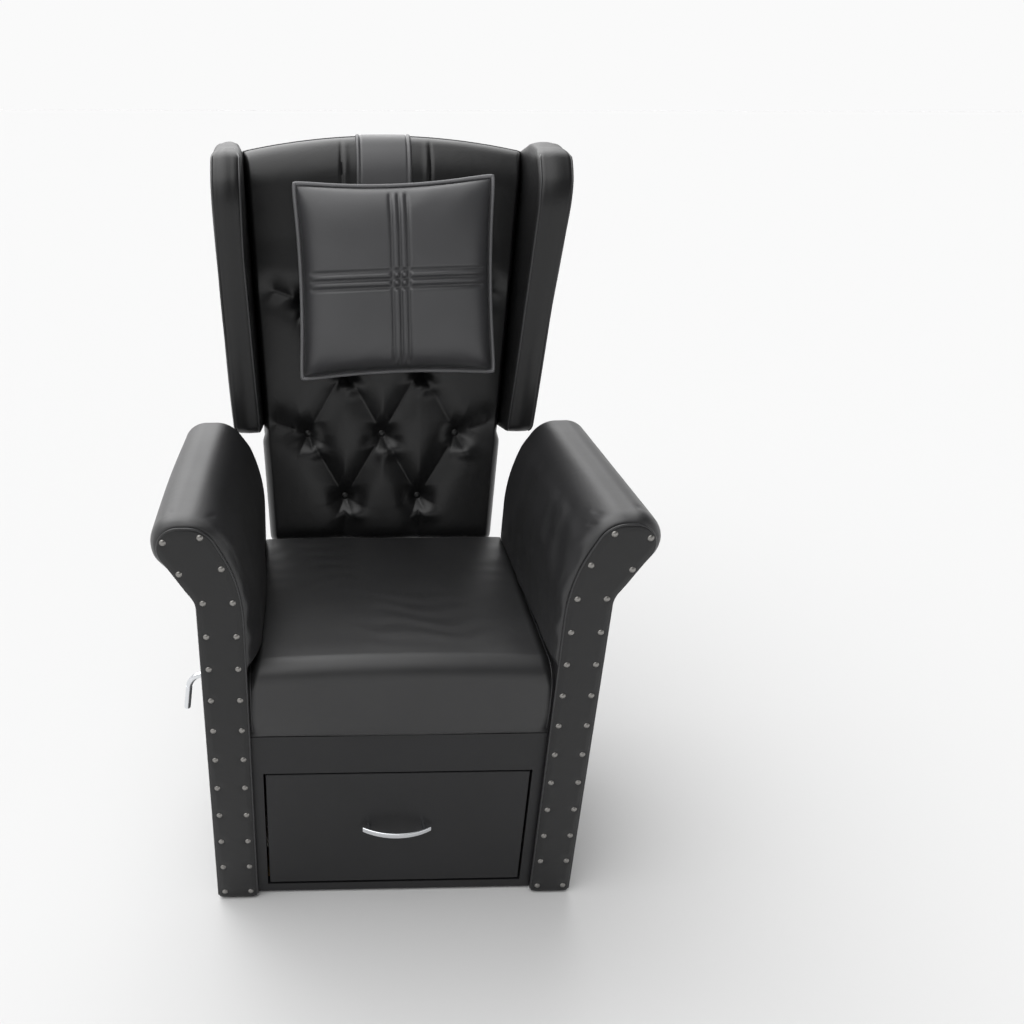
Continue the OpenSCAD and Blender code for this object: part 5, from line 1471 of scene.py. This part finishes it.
@dataclass
class HeadPillow:
    """The loose head pillow: a crowned pad with pointed corners, piping and a cross of sewn ridges."""

    plane: BackPlane = field(default_factory=BackPlane)
    # Width, height and thickness of the pad, and how far its seam lies in front of its rear side
    width: float = 0.380
    height: float = 0.366
    thick: float = 0.074
    seam: float = 0.016
    # Place of its middle on the back, and its turn in degrees
    u0: float = 0.0215
    v0: float = 0.5355
    y0: float = -0.0176
    tilt: float = -2.0
    # How far the sides are drawn in between the corners: left and right, bottom, top
    draw: tuple[float, float, float] = (0.008, 0.010, 0.013)
    # Width of the sewn flange and radius of the piping on it
    flange: float = 0.0052
    cord_r: float = 0.0036
    # Spacing and depth of the sewn grooves, height of the ribs between them, and how far the filling sags
    rib_gap: float = 0.0150
    groove: float = 0.0050
    rib: float = 0.0022
    sag: float = 0.0035
    # The sewn cross lies a little to the right of the pad's middle
    cross_u: float = 0.005

    def rim(self, s: Array, t: Array) -> tuple[Array, Array]:
        """Place in the pillow's own plane: each side drawn in between its corners by draw (1 - t^2).

        Args:
            s: Share across, from -1 to 1.
            t: Share up the pillow, from -1 to 1.

        Returns:
            Places across and up.
        """
        side, low, high = self.draw
        dip = low + (high - low) * (t + 1.0) / 2.0
        round_off = 1.0 - 0.014 * np.abs(s * t) ** 12
        narrow = 1.0 - 0.004 * (t + 1.0)
        return (s * round_off * narrow * (self.width / 2 - side * (1 - t * t)),
                t * round_off * (self.height / 2 - dip * (1 - s * s)))

    def place(self, a: Array, y: Array, b: Array) -> Array:
        """Points in the frame's axes, turned by the pillow's tilt in the plane of the back.

        Args:
            a: Across the pillow.
            y: Behind the pillow's own plane.
            b: Up the pillow.

        Returns:
            The points.
        """
        c, k = math.cos(math.radians(self.tilt)), math.sin(math.radians(self.tilt))
        a, y, b = np.broadcast_arrays(a, y, b)
        return self.plane.place(self.u0 + a * c + b * k, self.y0 + y, self.v0 - a * k + b * c)

    def ribs(self, x: Array) -> Array:
        """Depth of three grooves rib_gap apart, less the two ribs that stand up between them.

        Args:
            x: Distance from the middle groove.

        Returns:
            The depth, as a sum of bell curves.
        """
        g = self.rib_gap
        cut = bump(x, -g, 0.0034) + bump(x, 0.0, 0.0028) + bump(x, g, 0.0034)
        return self.groove * cut - self.rib * (bump(x, -g / 2, 0.0045) + bump(x, g / 2, 0.0045))

    def pad(self) -> bpy.types.Object:
        """Builds the pad: two crowned grids inside a flat sewn flange.

        The thickness is 0.45 (1 - s^4)^0.5 (1 - t^4)^0.5 + 0.55 ((1 - s^2)(1 - t^2))^0.38 of the whole, with
        s and t running from -1 to 1 between the flange's inner edges. It is fuller towards the bottom, where
        the filling has sunk. A cross of grooves and ribs is sewn over it.

        Returns:
            The pad, which stands for the CAD pillow.
        """
        inner = 1.0 - 2.0 * self.flange / self.width
        even = np.linspace(-1.0, 1.0, 191)
        brim = np.linspace(inner, 1.0, 6)[1:]
        g = np.concatenate([-brim[::-1], inner * (0.4 * even + 0.6 * np.sin(even * np.pi / 2)), brim])
        s, t = np.meshgrid(g, g)
        a, b = self.rim(s, t)
        si, ti = np.clip(s / inner, -1.0, 1.0), np.clip(t / inner, -1.0, 1.0)
        low = smooth_step(0.0, 0.8, -ti)
        boxy = ((1 - si ** 4) * (1 - np.abs(ti) ** (4.0 + 6.0 * low))) ** 0.5
        soft = ((1 - si * si) * (1 - ti * ti)) ** 0.38
        shape = soft + (0.45 + 0.35 * low) * (boxy - soft)
        down = self.ribs(a - self.cross_u) * (1.0 - smooth_step(0.88, 0.96, np.abs(ti)))
        across = self.ribs(b) * (1.0 - smooth_step(0.88, 0.96, np.abs(si)))
        cross = np.where(np.maximum(down, across) > 0.0002, np.maximum(down, across), down + across)
        sag = self.sag * np.exp(-(t + 0.55) ** 2 / 0.12) * (1 - s * s)
        outward = np.maximum(np.abs(s), np.abs(t))
        pull = 0.0010 * ripples(np.arctan2(t, s) * 6.0, 3, (1.0, 3.0)) * smooth_step(0.65, 0.95, outward)
        # Front and rear meet in the rim alone
        hem = 0.0006 * (outward < 1.0)
        y = (-self.seam - hem - (self.thick - self.seam - 0.004 + sag - pull) * shape
             + cross * np.minimum(1.0, shape * 1.4))
        rear = -self.seam + hem + (self.seam - 0.0012) * shape ** 0.5
        skin = sheet_pair(self.place(a, y, b), self.place(a, rear, b))
        piece = mesh_object("pillow_leather", skin, "head_pillow")
        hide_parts("head_pillow")
        dress(piece, Finish.PILLOW)
        return piece

    def piping(self) -> bpy.types.Object:
        """Builds the piping, a closed cord on the rim.

        Returns:
            The cord.
        """
        g = np.linspace(-1, 1, 121)[:-1]
        one = np.ones_like(g)
        s = np.concatenate([g, one, -g, -one])
        t = np.concatenate([-one, g, one, -g])
        a, b = self.rim(s, t)
        path = self.place(a, np.full_like(a, -self.seam - 0.0006), b)
        skin = tube(path, self.cord_r, self.plane.rearward(), 12, closed=True)
        piece = mesh_object("pillow_piping", skin, "head_pillow")
        # The cord's paler finish is a painted highlight along the pillow's rim
        dress(piece, Finish.PILLOW_CORD)
        return piece

    def build(self) -> None:
        """Builds and dresses the pillow."""
        self.pad()
        self.piping()


# Drawer front

@dataclass
class DrawerFace:
    """The drawer's leatherette-wrapped board with rounded edges."""

    radius: float = 0.0022

    def spread(self, start: float, stop: float) -> tuple[Array, Array]:
        """Places along one side, crowded at its rounded ends, and how far each lies inside the rounding.

        Args:
            start: Low end of the side.
            stop: High end of the side.

        Returns:
            The places, and radius less the distance to the nearer end, or 0.
        """
        r = self.radius
        turn = 1.0 - np.cos(np.linspace(0.0, np.pi / 2, 6))
        flat = np.linspace(start + r, stop - r, 40)[1:-1]
        x = np.concatenate([start + r * turn, flat, stop - r * turn[::-1]])
        return x, np.maximum(0.0, r - np.minimum(x - start, stop - x))

    def build(self) -> None:
        """Builds the board from its CAD box, with a quarter round at its rim."""
        low, high = (np.array(corner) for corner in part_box("drawer_front"))
        x, side = self.spread(low[0], high[0])
        z, edge = self.spread(low[2], high[2])
        gx, gz = np.meshgrid(x, z)
        drop = quarter(self.radius, np.hypot(side[None, :], edge[:, None]))
        front = np.stack([gx, low[1] + drop, gz], axis=-1)
        rear = np.stack([gx, np.full_like(gx, high[1]), gz], axis=-1)
        piece = mesh_object("drawer_face", walled_pair(front, rear), "drawer", crisp=50)
        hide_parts("drawer_front")
        dress(piece, Finish.BOARD)


# Carried-over CAD nodes

@dataclass(frozen=True)
class Fittings:
    """Finishes of the CAD nodes that stay as they are."""

    groups: tuple[tuple[Finish, tuple[str, ...]], ...] = (
        (Finish.BOARD, ("front_frame", "rear_panel", "drawer_front")),
        (Finish.BLACK, ("arm_facing_left", "arm_facing_right", "back_rear_panel", "wing_left",
                        "wing_right")),
        (Finish.BACK, ("back_cushion", "back_buttons")),
        (Finish.CHARCOAL, ("arm_pad_left", "arm_pad_right", "seat_cushion")),
        (Finish.PILLOW, ("pillow_strap", "head_pillow")),
        (Finish.PLY, ("cabinet_bottom", "drawer_side_left", "drawer_side_right", "drawer_back",
                      "drawer_inner_front", "drawer_bottom")),
        (Finish.STAINED_PLY, ("side_frame_left", "side_frame_right", "cabinet_side_left",
                              "cabinet_side_right", "seat_front_rail", "seat_deck", "back_frame")),
        (Finish.ZINC, ("frame_bolts", "hinge_bracket_left", "hinge_bracket_right", "hinge_bracket_bolts",
                       "pivot_bolts", "gas_bracket", "gas_bracket_screws", "handle_screws", "release_cam",
                       "release_head", "crank_pin", "recline_arm_bolts")),
        (Finish.COATED, ("recline_arm_left", "recline_arm_right", "crank_tube")),
        (Finish.BLACK_STEEL, ("gas_cylinder",)),
        (Finish.ENAMEL, ("runner_channel_left", "runner_channel_right", "runner_rail_left",
                         "runner_rail_right")),
        (Finish.CHROME, ("drawer_handle", "lever_rod", "gas_rod", "release_pin", "lever_escutcheon")),
        (Finish.NYLON, ("floor_glides", "front_roller_left", "front_roller_right", "rear_roller_left",
                        "rear_roller_right")),
        (Finish.PEWTER, ("facing_nails_left", "facing_nails_right")),
    )

    def build(self) -> None:
        """Dresses every CAD node and reports those that no group names."""
        named = set()
        for finish, nodes in self.groups:
            for name in nodes:
                dress(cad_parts[name], finish)
                named.add(name)
        left = sorted(set(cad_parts) - named)
        LOG.info("CAD nodes dressed: %d, left out: %s", len(named), left)


# Studio

@dataclass(frozen=True)
class Studio:
    """Pale floor, soft light and the photograph's camera."""

    eye: tuple[float, float, float] = (-0.1309, -1.5365, 1.3050)
    yaw: float = 1.511
    pitch: float = 25.512
    roll: float = 0.118
    focal_px: float = 888.6
    middle_px: tuple[float, float] = (339.5, 519.0)
    frame_px: float = 1024.0
    sensor: float = 36.0
    # The room: a pale wall all round up to wall_top degrees, a dim zone over it, and two soft lights, each
    # full inside the first of its two angles in degrees from its middle, and gone past the second
    wall: str = "#fafafa"
    wall_top: tuple[float, float] = (14.0, 22.0)
    dim: float = 0.12
    ceiling_way: tuple[float, float, float] = (-0.48, -0.10, 1.0)
    rear_way: tuple[float, float, float] = (-0.20, 0.80, 0.60)
    reach: tuple[tuple[float, float], tuple[float, float]] = ((18.0, 52.0), (12.0, 44.0))
    shares: tuple[float, float] = (1.0, 1.3)
    floor_paint: str = "#d8d8d8"

    def camera(self) -> None:
        """Sets the camera: yaw, pitch and roll as a turned frame, and the off-centre crop as a shift."""
        y, p, r = (math.radians(v) for v in (self.yaw, self.pitch, self.roll))
        ahead = np.array([math.sin(y) * math.cos(p), math.cos(y) * math.cos(p), -math.sin(p)])
        right = np.array([math.cos(y), -math.sin(y), 0.0])
        up = np.cross(right, ahead)
        right, up = math.cos(r) * right + math.sin(r) * up, math.cos(r) * up - math.sin(r) * right
        data = bpy.data.cameras.new("photo_camera")
        data.sensor_width = self.sensor
        data.lens = self.sensor * self.focal_px / self.frame_px
        data.shift_x = (self.frame_px / 2 - self.middle_px[0]) / self.frame_px
        data.shift_y = (self.middle_px[1] - self.frame_px / 2) / self.frame_px
        data.clip_start = 0.01
        camera = bpy.data.objects.new("photo_camera", data)
        turn = Matrix(np.stack([right, up, -ahead], axis=1).tolist())
        camera.matrix_world = Matrix.Translation(self.eye) @ turn.to_4x4()
        bpy.context.scene.collection.objects.link(camera)
        bpy.context.scene.camera = camera

    def floor(self) -> None:
        """Lays a wide matt floor, which meets the backdrop without a line, because both have one colour."""
        mesh = bpy.data.meshes.new("studio_floor")
        mesh.from_pydata([(-90, -90, 0), (90, -90, 0), (90, 90, 0), (-90, 90, 0)], [], [(0, 1, 2, 3)])
        floor = bpy.data.objects.new("studio_floor", mesh)
        bpy.context.scene.collection.objects.link(floor)
        made = bpy.data.materials.new("studio_floor_paint")
        made.use_nodes = True
        tree = made.node_tree
        tree.nodes.remove(tree.nodes["Principled BSDF"])
        paint = add_node(tree, "ShaderNodeBsdfDiffuse", {}, {"Color": to_linear(self.floor_paint)})
        tree.links.new(paint.outputs["BSDF"], tree.nodes["Material Output"].inputs["Surface"])
        mesh.materials.append(made)

    def lights(self) -> list[tuple[Array, float, float, float]]:
        """The two soft lights as the room needs them.

        Returns:
            For each, the unit vector to its middle, the cosines at which it is gone and full, and its share.
        """
        ways = unit(np.array([self.ceiling_way, self.rear_way]))
        ends = np.cos(np.radians(self.reach)).tolist()
        return [(way, gone, full, share) for way, (full, gone), share in zip(ways, ends, self.shares)]

    def peak(self) -> float:
        """Strength of the lights at their middles, at which the floor's paint renders as the wall's colour.

        The light that a level surface gets is the mean of the room's brightness over directions spread by
        their cosine. The room without the lights gives one mean and the lights' shape another, and peak is
        what the first lacks, over the second.

        Returns:
            The strength.
        """
        steep, turn = np.meshgrid((np.arange(400) + 0.5) / 400, np.radians(np.arange(0.0, 360.0, 1.0)))
        rise, flat = np.sqrt(steep), np.sqrt(1.0 - steep)
        low, high = (math.sin(math.radians(v)) for v in self.wall_top)
        over = smooth_step(low, high, rise)
        shape = np.zeros_like(rise)
        for way, gone, full, share in self.lights():
            toward = flat * (np.cos(turn) * way[0] + np.sin(turn) * way[1]) + rise * way[2]
            shape += share * smooth_step(gone, full, toward)
        wall = to_linear(self.wall)[0]
        room = (wall + (self.dim - wall) * over).mean()
        return float((wall / to_linear(self.floor_paint)[0] - room) / (shape * over).mean())

    def world(self) -> None:
        """Paints the room: wall + (dim + peak lights - wall) over, with over from 0 to 1 above the wall."""
        world = bpy.data.worlds.new("studio_world")
        bpy.context.scene.world = world
        world.use_nodes = True
        tree = world.node_tree
        for node in list(tree.nodes):
            tree.nodes.remove(node)
        at = add_node(tree, "ShaderNodeTexCoord").outputs["Generated"]
        level, peak = None, self.peak()
        for way, gone, full, share in self.lights():
            toward = add_node(tree, "ShaderNodeVectorMath", {"operation": "DOT_PRODUCT"}, {1: tuple(way)},
                              {0: at})
            lobe = add_node(tree, "ShaderNodeMapRange", {"interpolation_type": "SMOOTHSTEP"},
                            {"From Min": gone, "From Max": full, "To Min": 0.0, "To Max": share * peak},
                            {"Value": toward.outputs["Value"]})
            links = {0: lobe.outputs["Result"]} | ({1: level} if level else {})
            level = add_node(tree, "ShaderNodeMath", {"operation": "ADD"}, {} if level else {1: self.dim},
                             links).outputs[0]
        height = add_node(tree, "ShaderNodeSeparateXYZ", {}, {}, {0: at})
        low, high = (math.sin(math.radians(v)) for v in self.wall_top)
        over = add_node(tree, "ShaderNodeMapRange", {"interpolation_type": "SMOOTHSTEP"},
                        {"From Min": low, "From Max": high}, {"Value": height.outputs["Z"]})
        # The camera sees the wall's colour all the way up, and the chair is lit by the whole room
        seen = add_node(tree, "ShaderNodeLightPath").outputs["Is Camera Ray"]
        unseen = add_node(tree, "ShaderNodeMath", {"operation": "SUBTRACT"}, {0: 1.0}, {1: seen})
        lit = add_node(tree, "ShaderNodeMath", {"operation": "MULTIPLY"}, {},
                       {0: over.outputs["Result"], 1: unseen.outputs[0]})
        room = add_node(tree, "ShaderNodeMix", {"data_type": "FLOAT"}, {"A": to_linear(self.wall)[0]},
                        {"Factor": lit.outputs[0], "B": level})
        light = add_node(tree, "ShaderNodeBackground", {}, {"Color": (1, 1, 1, 1)},
                         {"Strength": room.outputs["Result"]})
        add_node(tree, "ShaderNodeOutputWorld", {}, {}, {"Surface": light.outputs["Background"]})

    def build(self) -> None:
        """Sets the whole studio."""
        bpy.context.scene.view_settings.view_transform = "Standard"
        self.camera()
        self.floor()
        self.world()


def main() -> None:
    """Builds the chair's pieces in order, dresses the CAD nodes and sets the studio."""
    logging.basicConfig(level=logging.INFO, format="%(message)s")
    Fittings().build()
    for side in Side:
        ScrollArm(side).build()
    Seat().build()
    back = Backrest()
    back.build()
    for side in Side:
        Wing(side, back).build()
    HeadPillow().build()
    DrawerFace().build()
    Studio().build()
    bpy.context.view_layer.update()


if __name__ == "__main__":
    main()
